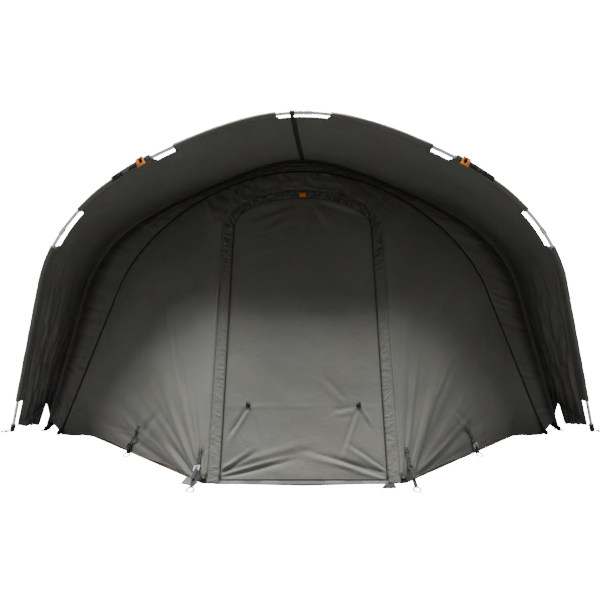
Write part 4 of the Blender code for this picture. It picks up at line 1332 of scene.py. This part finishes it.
def make_door_tab():
    centre = door_point(0.0, TAB_HEIGHT) + DOOR_OUT * 0.0068
    size = (0.034, 0.026, 0.0025)
    tab = rounded_box("door_tab_cloth", centre, DOOR_AXES, size, 0.001, orange_plastic())
    settle(tab, ["door_tab"])
    w, h = 0.0145, 0.0105
    corners = ((-w, -h), (w, -h), (w, h), (-w, h), (-w, -h))
    path = np.array([centre + RIGHT * x + DOOR_UP * y + DOOR_OUT * 0.0016 for x, y in corners])
    fine = np.concatenate([np.linspace(a, b, 12, endpoint=False) for a, b in zip(path, path[1:])])
    stitch, seams = (0.0022, 0.0006, 0.0005), [(fine, DOOR_OUT)]
    settle(along_seams("door_tab_stitches", seams, 0.0032, stitch, thread_finish()))


def make_toggles():
    """Tapered toggles on cord loops, which hold the rolled door."""
    for side, name in SIDES:
        centre = door_point(side * TOGGLE_PLACE[0], TOGGLE_PLACE[1]) + DOOR_OUT * 0.009
        lie = unit(DOOR_UP + RIGHT * 0.9 * side)
        path = centre + lie * np.linspace(-0.0105, 0.0105, 9)[:, None]
        scale = (0.55, 0.8, 0.98, 1.0, 0.85, 1.0, 0.98, 0.75, 0.45)
        barrel = sweep("barrel", path, DOOR_OUT, disc(0.0066, 18), black_plastic(), scale=scale)
        turn = full_turn(24)[:, None]
        loop = centre + DOOR_UP * 0.013 * np.sin(turn) + DOOR_OUT * (0.003 * np.cos(turn) - 0.004)
        cord = sweep("loop", loop, RIGHT, disc(0.0014, 8), black_plastic(), closed=True)
        under = centre - DOOR_OUT * 0.0062 - DOOR_UP * 0.002
        patch = rounded_box("patch", under, DOOR_AXES, (0.019, 0.019, 0.0016), 0.0006, webbing_finish())
        toggle = join(f"door_toggle_{name}_barrel", [barrel, cord, patch])
        settle(toggle, ["door_toggle_" + name])


# Body, rear and floor

def make_body():
    fold = sizes().folds
    q = whole_arch(BODY_STEP)
    share = np.linspace(0.0, 1.0, BODY_ROWS)
    q2, share2 = np.meshgrid(q, share, indexing="ij")
    points, outward = body_surface(q2, share2)
    along, back = q2 * BODY_RUN, share2 * 0.9
    height = 0.0035 * ripple(along, back * 0.3, 81, 0.15)
    height += 0.0015 * crease(along + back, back - along * 0.4, 82, 0.2)
    height += 0.005 * ease(0.35, 0.0, 1.0 - np.abs(q2)) * ripple(back, along * 0.4, 83, 0.08)
    points = points + outward * (fold * height * hanging(share2, 0.1, 0.1))[..., None]
    piece = cloth("body_cloth", points, outward, tent_cloth())
    settle(piece, ["body_left", "body_crown", "body_right"])
    q = whole_arch(BODY_STEP, mirrored(REAR_STATIONS))
    q2, share2 = np.meshgrid(q, share, indexing="ij")
    points, outward = rear_surface(q2, share2)
    pegs = np.min(np.abs((1.0 - np.abs(q2))[..., None] - np.array(REAR_STATIONS)), axis=-1)
    pull = ease(0.5, 1.0, share2) * np.exp(-((pegs / 0.035) ** 2))
    height = 0.004 * ripple(q2 * REAR_RUN, share2 * 0.5, 84, 0.14)
    height += 0.006 * pull * ripple(q2 * REAR_RUN, share2 * 0.25, 85, 0.025)
    height -= 0.008 * np.sin(math.pi * share2) * (1.0 - np.exp(-((pegs / 0.05) ** 2)))
    points = points + outward * (fold * height * hanging(share2, 0.1, 0.03))[..., None]
    points[..., 2] = np.maximum(points[..., 2], CLOTH_FLOOR)
    piece = cloth("rear_cloth", points, outward, tent_cloth())
    settle(piece, ["rear_left", "rear_middle", "rear_right"])
    q = np.linspace(-0.91, 0.91, 500)
    places = ((body_surface, 0.02), (body_surface, 0.98), (rear_surface, 0.015))
    lines = [surface(q, 0 * q + place) for surface, place in places]
    lines.append((points[:, -3], outward[:, -3]))
    stitched("body_stitches", [(spots + ways * 0.0012, ways) for spots, ways in lines], 1.4)


def ground_line():
    """Right half of the groundsheet's outline and the lean of the wall over each point."""
    places = (2.3, 2.2, 2.1, 2.0, 1.875, 1.75, 1.625, 1.5, 1.375, 1.25, 1.125, 1.0)
    line = [(SILL, DOOR_UP / DOOR_UP[2])]
    for place in places:
        q = np.array([1.0 - np.interp(place, WALL_PLACES, WALL_STATIONS)])
        point = wall_edge(q)[0]
        way = ZIP.point(q)[0] - point
        line.append((point * (1, 1, 0), way / way[2]))
    lean = MAIN.point(0.6) - MAIN.point(1.0)
    line += [(np.array((x, y, 0.0)), lean / lean[2]) for x, y in SIDE_GROUND]
    for station in REAR_STATIONS[1:]:
        q = np.array([1.0 - station])
        point = rear_ground(q)[0]
        way = REAR.point(q)[0] - point
        line.append((point * (1, 1, 0), way / way[2]))
    return line


def make_floor():
    """Groundsheet with an upstanding rim, faintly quilted by the ground under it."""
    right = ground_line()
    left = [(p * (-1, 1, 1), w * (-1, 1, 1)) for p, w in reversed(right[1:-1])]
    outline = right + left
    points = np.array([p for p, w in outline])
    ways = np.array([w for p, w in outline])
    run = unit(unit(points - np.roll(points, 1, axis=0)) + unit(np.roll(points, -1, axis=0) - points))
    inward = np.stack([-run[:, 1], run[:, 0], 0 * run[:, 0]], axis=-1)
    edge = points + inward * 0.0045
    fine = []
    for k in range(len(edge)):
        after = (k + 1) % len(edge)
        steps = max(2, int(np.linalg.norm(edge[after] - edge[k]) / 0.03))
        share = (np.arange(steps) / steps)[:, None]
        fine.append([line[k] * (1 - share) + line[after] * share for line in (edge, ways)])
    edge, ways = (np.concatenate(line) for line in zip(*fine))
    middle = np.array((0.0, 0.55, 0.0))
    rings = [edge + ways * 0.019 + UP * 0.001, edge + ways * 0.010, edge + ways * 0.003 + UP * 0.0005]
    for share in np.linspace(0.02, 0.985, 24):
        ring = edge * (1 - share) + middle * share
        quilt = 0.5 + 0.5 * ripple(ring[:, 0], ring[:, 1], 91, 0.11)
        ring[:, 2] = 0.0022 + 0.0016 * quilt * min(1.0, share * 8)
        rings.append(ring)
    grid = np.stack(rings + [np.broadcast_to(middle + UP * 0.003, edge.shape)], axis=1)
    grid = np.concatenate([grid, grid[:1]], axis=0)
    piece = floor_mesh(grid)
    settle(piece, ["groundsheet"])


def floor_mesh(grid):
    """Thin closed sheet from a grid whose first row of columns meets its last."""
    rows, columns = grid.shape[:2]
    points = grid.reshape(-1, 3)
    faces = grid_faces(rows, columns)
    mesh = bpy.data.meshes.new("merge")
    mesh.from_pydata(points.tolist(), [], faces.tolist())
    work = bmesh.new()
    work.from_mesh(mesh)
    bmesh.ops.remove_doubles(work, verts=work.verts, dist=0.00005)
    bmesh.ops.recalc_face_normals(work, faces=work.faces)
    if sum(face.normal.z * face.calc_area() for face in work.faces) < 0:
        bmesh.ops.reverse_faces(work, faces=work.faces)
    layer = work.loops.layers.uv.new("UVMap")
    for face in work.faces:
        for loop in face.loops:
            loop[layer].uv = loop.vert.co.xy
    bmesh.ops.solidify(work, geom=work.faces, thickness=sizes().cloth)
    work.to_mesh(mesh)
    work.free()
    mesh.name = "groundsheet_sheet"
    return make_object("groundsheet_sheet", mesh, floor_cloth())


# Fittings

def make_buckle(side, name):
    """Cam buckle on the front sleeve: a frame, its lever with ribs, and the webbing through it."""
    def spot(station):
        q = np.array(side * (1.0 - station))
        near, tangent = FRONT.point(q), FRONT.tangent(q) * side
        way = across(near - MAIN.point(q), tangent)
        return near, way, tangent
    near, way, tangent = spot(BUCKLE_STATION)
    aside = np.cross(way, tangent)
    axes = (tangent, aside, way)
    base = near + way * 0.0140
    # Two cheeks, two ends, the lever and its ribs, each with its size and bevel
    blocks = []
    for k in (-1, 1):
        blocks.append((base + aside * 0.0150 * k + way * 0.0045, (0.038, 0.0075, 0.009), 0.0016))
        blocks.append((base + tangent * 0.0150 * k + way * 0.0040, (0.0085, 0.030, 0.0075), 0.0014))
    blocks.append((base + way * 0.0088 + tangent * 0.0105, (0.013, 0.023, 0.0035), 0.0012))
    for k in range(3):
        rib = base + way * 0.0112 + tangent * (0.0065 + 0.0035 * k)
        blocks.append((rib, (0.0013, 0.02, 0.0014), 0.0004))
    parts = [rounded_box("block", place, axes, size, bevel, orange_plastic())
             for place, size, bevel in blocks]
    bar = base + aside * np.linspace(-0.013, 0.013, 6)[:, None] + way * 0.005
    parts.append(sweep("bar", bar, way, disc(0.0022, 12), ring_steel()))
    settle(join(f"hood_buckle_{name}_cam", parts), ["hood_buckle_" + name])
    path = []
    for station in np.linspace(*WEBBING_STATIONS, 24):
        near, way, tangent = spot(station)
        bump = 0.0 if station < 0.761 else 0.3 * max(0.0, 0.004 - abs(station - 0.767))
        path.append(near + way * (0.0156 + bump))
    outline = slab(0.025, 0.0022)
    strap = sweep(f"hood_webbing_{name}_strap", path, aside, outline, webbing_finish())
    settle(strap, ["hood_webbing_" + name])


def make_centre_strap():
    """Strap under the crown of the hood, its fitting on the pole and the pale clip on top."""
    share = np.linspace(0.02, 0.97, 40)
    q = -0.014 * (1.0 - share)
    path, normal = hood_surface(q, share)
    path = path + normal * (hood_folds(q, share)[:, None] - 0.004)
    strap = sweep("hood_centre_strap_webbing", path, RIGHT, slab(0.021, 0.0018), webbing_finish())
    settle(strap, ["hood_centre_strap"])
    crown = FRONT.point(-0.0145)
    high = unit(FRONT.lean)
    ahead = unit(np.cross(RIGHT, high))
    axes = (RIGHT, FRONT.normal(), high)
    turn = full_turn(28)[:, None]
    loop = crown + ahead * 0.0108 * np.cos(turn) + high * 0.0108 * np.sin(turn)
    band = sweep("loop", loop, RIGHT, slab(0.02, 0.002), black_plastic(), closed=True)
    under = crown - high * 0.0145 - ahead * 0.003
    hook = rounded_box("hook", under, axes, (0.016, 0.012, 0.012), 0.003, black_plastic())
    settle(join("hood_crown_fitting", [band, hook]))
    prongs, step = [], np.arange(3)[:, None]
    for k in (-1, 1):
        post = crown + RIGHT * (0.012 * k + 0.002 * k * step) + high * (0.0085 + 0.004 * step)
        prongs.append(sweep("prong", post, ahead, disc(0.0018, 10), clear_plastic()))
    settle(join("hood_crown_clip", prongs))


def wire_ring(centre, axis, along, radius, wire, stretch=1.0):
    """Closed ring of wire in the plane square to an axis, longer along one direction."""
    axis = unit(np.asarray(axis, float))
    along = across(np.asarray(along, float), axis)
    other = np.cross(axis, along)
    turn = full_turn(36)[:, None]
    path = centre + along * radius * stretch * np.cos(turn) + other * radius * np.sin(turn)
    return sweep("ring", path, axis, disc(wire, 10), ring_steel(), closed=True)


def make_foot(node, arch, side, ring_way):
    """Moulded cap on a pole's foot, with a webbing loop and a wire ring beside it."""
    foot = arch.point(side)
    up = unit(arch.point(side * 0.9) - foot)
    normal = arch.normal()
    # Rings of the cap from its sole up: heights, then radii
    height = np.array((0.0, 0.002, 0.008, 0.011, 0.035, 0.038, 0.043, 0.045))
    path = foot + up * (height + 0.001)[:, None]
    radius = (0.0120, 0.0133, 0.0133, 0.0125, 0.0125, 0.0133, 0.0133, 0.0118)
    cap = sweep("cap", path, normal, disc(1.0, 24), black_plastic(), scale=radius)
    for vertex in cap.data.vertices:
        vertex.co.z = max(vertex.co.z, 0.0006)
    out = unit(np.array((side * ring_way[0], ring_way[1], 0.0)))
    start = foot + out * 0.014 + UP * 0.020
    bend = ((0, 0), (0.010, -0.004), (0.018, -0.012), (0.020, -0.017), (0.012, -0.0172), (0, -0.010))
    loop = [start + out * a + UP * b for a, b in bend]
    tab = sweep("tab", loop, np.cross(out, UP), slab(0.016, 0.002), webbing_finish())
    ring = wire_ring(foot + out * 0.036 + UP * 0.004, UP, out, 0.015, 0.0026, 1.25)
    settle(join(node + "_cap", [cap, tab, ring]), [node])


def make_feet():
    ribs = (("front", FRONT, (0.9, -0.35)), ("main", MAIN, (0.15, -1.0)), ("rear", REAR, (1.0, 0.1)))
    for side, name in SIDES:
        for rib, arch, ring_way in ribs:
            make_foot(f"{rib}_foot_{name}", arch, side, ring_way)


def wall_run(places, side, count):
    """Points and outward ways along a line on the folded wall between places on it."""
    stops = np.linspace(0.0, len(places) - 1.0, count)
    station, share = (np.interp(stops, range(len(places)), values) for values in zip(*places))
    points, outward = folded_wall((side * (1.0 - station))[:, None], share[:, None])
    return points[:, 0], outward[:, 0]


def ladder_lock(centre, run, out, finish):
    """Webbing slider: two side rails and three bars."""
    aside = unit(np.cross(run, out))
    rail, bar = (0.026, 0.004, 0.005), (0.0038, STRAP_WIDTH + 0.002, 0.0042)
    blocks = [(aside * (STRAP_WIDTH / 2 + 0.002) * k, rail, 0.0012) for k in (-1, 1)]
    blocks += [(run * 0.011 * k, bar, 0.001) for k in (-1, 0, 1)]
    axes = (run, aside, out)
    return [rounded_box("bar", centre + offset, axes, size, bevel, finish) for offset, size, bevel in blocks]


def make_peg_strap(node, side, places, ring_at, lock_finish):
    """Webbing sewn to the wall, its ladder lock, its loop and the ring for a peg."""
    spots, ways = wall_run(places, side, 14)
    out = unit(unit(ways.sum(axis=0)) + DOOR_OUT)
    ring = np.array((side * ring_at[0], ring_at[1], 0.0))
    reach = np.linspace(0.0, 1.0, 9)[1:, None]
    low = ring + (spots[-1] - ring) * 0.10 + UP * 0.006
    # Taut webbing spans the folds, so its line lies over the highest of them
    chord = spots[0] + (spots[-1] - spots[0]) * np.linspace(0.0, 1.0, len(spots))[:, None]
    spots = chord + out * max(0.0, float(np.max((spots - chord) @ out)))
    path = np.concatenate([spots + out * 0.0045, (spots[-1] + out * 0.0045) * (1 - reach) + low * reach])
    for _ in range(3):
        path[1:-1] = (path[:-2] + 2 * path[1:-1] + path[2:]) / 4
    aside = unit(np.cross(path[-1] - path[0], out))
    strap = sweep("strap", path, aside, slab(STRAP_WIDTH, 0.0022), webbing_finish())
    middle = len(path) * 5 // 8
    run = unit(path[middle + 2] - path[middle - 2])
    lock = ladder_lock(path[middle] + out * 0.0035, run, out, lock_finish)
    tail = path[middle : middle + 6] + out * (0.0045 + 0.0012 * np.arange(6))[:, None]
    tail = sweep("tail", tail, aside, slab(STRAP_WIDTH - 0.003, 0.0018), webbing_finish())
    flat = unit((ring - path[-1]) * (1, 1, 0))
    loop = wire_ring(ring + flat * 0.004 + UP * 0.004, UP + flat * 0.3, flat, 0.0145, 0.003, 1.2)
    settle(join(node + "_webbing", [strap, tail, *lock, loop]), [node])
    seams = []
    for start in (0, 4, 8):
        for k in (-0.006, 0.0, 0.006):
            ends = path[start] + aside * k, path[start + 3] + aside * k
            seams.append((np.linspace(*ends, 12) + out * 0.0014, out))
    stitch = (0.0024, 0.0007, 0.0005)
    settle(along_seams(node + "_stitches", seams, 0.0034, stitch, pale_thread()))


def make_corner_flap(side, name):
    """Cloth tab under the wall's corner, pulled out to its ring."""
    finish, slot = (tent_cloth(), "tent_fabric") if side < 0 else (webbing_finish(), "black_webbing")
    knots = np.array(FLAP_CORNERS[name])
    a, b = np.meshgrid(np.linspace(0, 1, 16), np.linspace(0, 1, 12), indexing="ij")
    a, b = a[..., None], b[..., None]
    points = (knots[0] * (1 - a) + knots[1] * a) * (1 - b) + (knots[3] * (1 - a) + knots[2] * a) * b
    points = points + UP * (0.004 * np.sin(5 * a + 3 * b) ** 2) * np.sin(math.pi * a) * np.sin(math.pi * b)
    points[..., 2] = np.maximum(points[..., 2], 0.0025)
    outward = np.broadcast_to(UP + (0, -1, 0), points.shape)
    flap = cloth(f"corner_flap_{name}", points, outward, finish)
    settle(flap)


def make_straps():
    for side, name in SIDES:
        corner, far = clear_plastic(), black_plastic()
        if side > 0:
            corner, far = far, corner
        make_peg_strap("corner_strap_" + name, side, CORNER_STRAP, (0.448, -0.972), corner)
        make_peg_strap("side_strap_" + name, side, SIDE_STRAP, (0.815, -0.46), far)
        make_corner_flap(side, name)


def slider(centre, pull_at, axes, size, pull_size):
    """Body of a zip's slider and its pull."""
    body = rounded_box("slider", centre, axes, size, 0.0018, black_plastic())
    return [body, rounded_box("pull", pull_at, axes, pull_size, 0.0007, black_plastic())]


def make_zip_ends():
    """Sliders with pulls at the feet of the arched zip, and the door's two sliders."""
    for side, name in SIDES:
        q = np.array(side * 0.965)
        centre, tangent = ZIP.point(q), ZIP.tangent(q) * side
        out = wall_surface(q.reshape(1, 1), np.zeros((1, 1)))[1][0, 0]
        aside = np.cross(tangent, out)
        axes, pull_at = (tangent, aside, out), centre + out * 0.009 + tangent * 0.016
        parts = slider(centre + out * 0.005, pull_at, axes, (0.014, 0.011, 0.006), (0.03, 0.007, 0.0016))
        foot = ZIP.point(side * 0.998) + (0.0, -0.02, 0.012)
        path = foot + np.array((side * 0.008, -0.003, -0.006)) * np.linspace(-2.0, 1.2, 10)[:, None]
        parts.append(sweep("tail", path, RIGHT, slab(0.022, 0.002), webbing_finish()))
        parts.append(wire_ring(foot + (0.0, -0.016, -0.006), UP, RIGHT, 0.010, 0.0022))
        settle(join(f"zip_end_{name}", parts))
    for side, name in SIDES:
        centre = door_point(side * (DOOR_HALF_WIDTH - 0.002), 0.052) + DOOR_OUT * 0.006
        pull_at = centre + DOOR_OUT * 0.004 + DOOR_UP * -0.003
        parts = slider(centre, pull_at, DOOR_AXES, (0.010, 0.014, 0.006), (0.006, 0.024, 0.0016))
        settle(join(f"door_slider_{name}", parts))


# Stage

def camera_glow(tree, other_rays, camera_rays):
    """Strength that lights the scene, and the one that the camera sees."""
    seen = tree.nodes.new("ShaderNodeLightPath").outputs["Is Camera Ray"]
    return ranged(tree, seen, other_rays, camera_rays)


def make_floor_plane():
    size, level = 40.0, -0.0015
    corners = [(size * x, size * y, level) for x, y in ((-1, -1), (1, -1), (1, 1), (-1, 1))]
    mesh = bpy.data.meshes.new("studio_floor")
    mesh.from_pydata(corners, [], [(0, 1, 2, 3)])
    made, shader, tree = new_finish("studio_floor", 0.9)
    glow = camera_glow(tree, 0.0, 20.0)
    grey, white = (0.25, 0.25, 0.25, 1.0), (1.0, 1.0, 1.0, 1.0)
    feed(tree, shader, {"Base Color": grey, "Emission Color": white, "Emission Strength": glow})
    plane = make_object("studio_floor", mesh, made, smooth=False)


def area_light(name, place, target, size, power):
    """Rectangular soft light that faces a target."""
    light = bpy.data.lights.new(name, "AREA")
    light.shape = "RECTANGLE"
    light.size, light.size_y = size
    light.energy = power
    lamp = bpy.data.objects.new(name, light)
    lamp.location = place
    lamp.rotation_euler = (Vector(target) - Vector(place)).to_track_quat("-Z", "Y").to_euler()
    bpy.context.collection.objects.link(lamp)


def make_light():
    world = bpy.data.worlds.new("studio")
    bpy.context.scene.world = world
    world.use_nodes = True
    tree = world.node_tree
    strength = camera_glow(tree, 0.31, 22.0)
    feed(tree, tree.nodes["Background"], {"Color": (1.0, 1.0, 1.0, 1.0), "Strength": strength})
    area_light("overhead", (-0.3, 0.2, 5.0), (-0.3, 0.2, 0.0), (4.2, 0.4), 480.0)
    area_light("overhead_front", (-0.3, -0.5, 5.0), (-0.3, -0.5, 0.0), (4.2, 1.0), 420.0)
    area_light("left_side", (-4.5, 0.2, 3.5), (-0.8, -0.5, 0.1), (1.5, 1.5), 190.0)
    area_light("right_side", (4.5, 0.2, 3.5), (0.8, -0.5, 0.1), (1.5, 1.5), 80.0)
    area_light("rear_fill", (0.0, 4.0, 4.5), (0.0, 0.8, 0.5), (5.0, 3.0), 120.0)


def make_camera():
    camera = bpy.data.cameras.new("camera")
    camera.lens = FOCAL_PIXELS / PICTURE * SENSOR
    camera.sensor_width = SENSOR
    camera.clip_start, camera.clip_end = 0.05, 200.0
    placed = bpy.data.objects.new("camera", camera)
    placed.location = CAMERA_PLACE.tolist()
    placed.rotation_euler = (math.pi / 2 - CAMERA_PITCH, 0.0, CAMERA_TURN)
    bpy.context.collection.objects.link(placed)
    bpy.context.scene.camera = placed


# Panel and operators

def size_property(label, description, default, low, high):
    return bpy.props.FloatProperty(name=label, description=description, default=default, min=low, max=high,
                                   precision=4, subtype="DISTANCE", unit="LENGTH")


class BivvySizes(bpy.types.PropertyGroup):
    cloth: size_property("Cloth", "Thickness of the tent's cloth", 0.0008, 0.0002, 0.003)
    pole: size_property("Pole", "Outside diameter of the poles", 0.016, 0.008, 0.0165)
    stitch_pitch: size_property("Stitch pitch", "Distance from one stitch to the next", 0.0065, 0.003, 0.02)
    tooth_pitch: size_property("Tooth pitch", "Distance from one zip tooth to the next", 0.003, 0.0015, 0.01)
    folds: bpy.props.FloatProperty(
        name="Folds", description="Depth of the folds in the cloth, as a share of the photographed one",
        default=1.0, min=0.0, max=1.5, subtype="FACTOR")


def colour_property(label, description, default):
    return bpy.props.FloatVectorProperty(
        name=label, description=description, default=default, subtype="COLOR", min=0.0, max=1.0)


class BivvyColours(bpy.types.PropertyGroup):
    cloth: colour_property("Tent cloth", "Colour of the tent's cloth", (0.094, 0.096, 0.083))
    groundsheet: colour_property("Groundsheet", "Colour of the groundsheet", (0.58, 0.48, 0.33))
    webbing: colour_property("Webbing", "Colour of straps and zip tape", (0.012, 0.012, 0.016))
    thread: colour_property("Thread", "Colour of the stitches", (0.06, 0.061, 0.054))
    plastic: colour_property("Plastic", "Colour of caps, toggles and sliders", (0.012, 0.012, 0.013))
    pale_plastic: colour_property("Pale plastic", "Colour of the pale sliders and clip", (0.55, 0.56, 0.55))
    orange: colour_property("Orange", "Colour of the cam buckles and the door's tab", (0.90, 0.37, 0.06))
    alloy: colour_property("Alloy", "Colour of the poles", (0.86, 0.87, 0.88))
    sill: colour_property("Sill strip", "Colour of the strip under the door", (0.13, 0.125, 0.14))
    steel: colour_property("Ring wire", "Colour of the wire rings", (0.07, 0.07, 0.07))


class BivvyOperator:
    bl_options = {"REGISTER", "UNDO"}


class BIVVY_OT_stage(BivvyOperator, bpy.types.Operator):
    """Set up the camera, the pale floor and the soft light"""
    bl_idname = "bivvy.make_stage"
    bl_label = "Stage"

    def execute(self, context):
        make_camera()
        make_floor_plane()
        make_light()
        return {"FINISHED"}


class BIVVY_OT_hood(BivvyOperator, bpy.types.Operator):
    """Make the hood's cloth with its front sleeve, bindings and stitches"""
    bl_idname = "bivvy.make_hood"
    bl_label = "Hood"

    def execute(self, context):
        hood_cloth()
        hood_bindings()
        return {"FINISHED"}


class BIVVY_OT_ribs(BivvyOperator, bpy.types.Operator):
    """Make the poles and the sleeves of the main and rear ribs"""
    bl_idname = "bivvy.make_ribs"
    bl_label = "Ribs"

    def execute(self, context):
        make_front_rib()
        make_sleeved_rib("main", MAIN)
        make_sleeved_rib("rear", REAR)
        return {"FINISHED"}


class BIVVY_OT_front(BivvyOperator, bpy.types.Operator):
    """Make the front wall, the band round it and the arched zip"""
    bl_idname = "bivvy.make_front"
    bl_label = "Front wall"

    def execute(self, context):
        make_front_wall()
        make_band()
        make_arch_zip()
        return {"FINISHED"}


class BIVVY_OT_door(BivvyOperator, bpy.types.Operator):
    """Make the door, its gathered strip, zip, tab and toggles"""
    bl_idname = "bivvy.make_door"
    bl_label = "Door"

    def execute(self, context):
        make_strip()
        make_door()
        make_door_tab()
        make_toggles()
        return {"FINISHED"}


class BIVVY_OT_body(BivvyOperator, bpy.types.Operator):
    """Make the body, the rear and the groundsheet"""
    bl_idname = "bivvy.make_body"
    bl_label = "Body and floor"

    def execute(self, context):
        make_body()
        make_floor()
        return {"FINISHED"}


class BIVVY_OT_fittings(BivvyOperator, bpy.types.Operator):
    """Make the buckles, straps, rings, zip ends and pole feet"""
    bl_idname = "bivvy.make_fittings"
    bl_label = "Fittings"

    def execute(self, context):
        make_buckle(-1, "left")
        make_buckle(1, "right")
        make_centre_strap()
        make_feet()
        make_straps()
        make_zip_ends()
        return {"FINISHED"}


class BIVVY_PT_panel(bpy.types.Panel):
    bl_label = "Fishing bivvy"
    bl_idname = "BIVVY_PT_panel"
    bl_space_type = "VIEW_3D"
    bl_region_type = "UI"
    bl_category = "Bivvy"

    def draw(self, context):
        for group in (context.scene.bivvy_sizes, context.scene.bivvy_colours):
            for label in group.bl_rna.properties.keys():
                if label not in ("rna_type", "name"):
                    self.layout.prop(group, label)
        for operator in OPERATORS:
            self.layout.operator(operator.bl_idname)


OPERATORS = (BIVVY_OT_stage, BIVVY_OT_ribs, BIVVY_OT_hood, BIVVY_OT_front, BIVVY_OT_door, BIVVY_OT_body,
             BIVVY_OT_fittings)
CLASSES = (BivvySizes, BivvyColours, *OPERATORS, BIVVY_PT_panel)


def register():
    for item in CLASSES:
        bpy.utils.register_class(item)
    bpy.types.Scene.bivvy_sizes = bpy.props.PointerProperty(type=BivvySizes)
    bpy.types.Scene.bivvy_colours = bpy.props.PointerProperty(type=BivvyColours)


def unregister():
    del bpy.types.Scene.bivvy_colours
    del bpy.types.Scene.bivvy_sizes
    for item in reversed(CLASSES):
        bpy.utils.unregister_class(item)


def main():
    register()
    bpy.ops.bivvy.make_stage()
    bpy.ops.bivvy.make_ribs()
    bpy.ops.bivvy.make_hood()
    bpy.ops.bivvy.make_front()
    bpy.ops.bivvy.make_door()
    bpy.ops.bivvy.make_body()
    bpy.ops.bivvy.make_fittings()


if __name__ == "__main__":
    main()
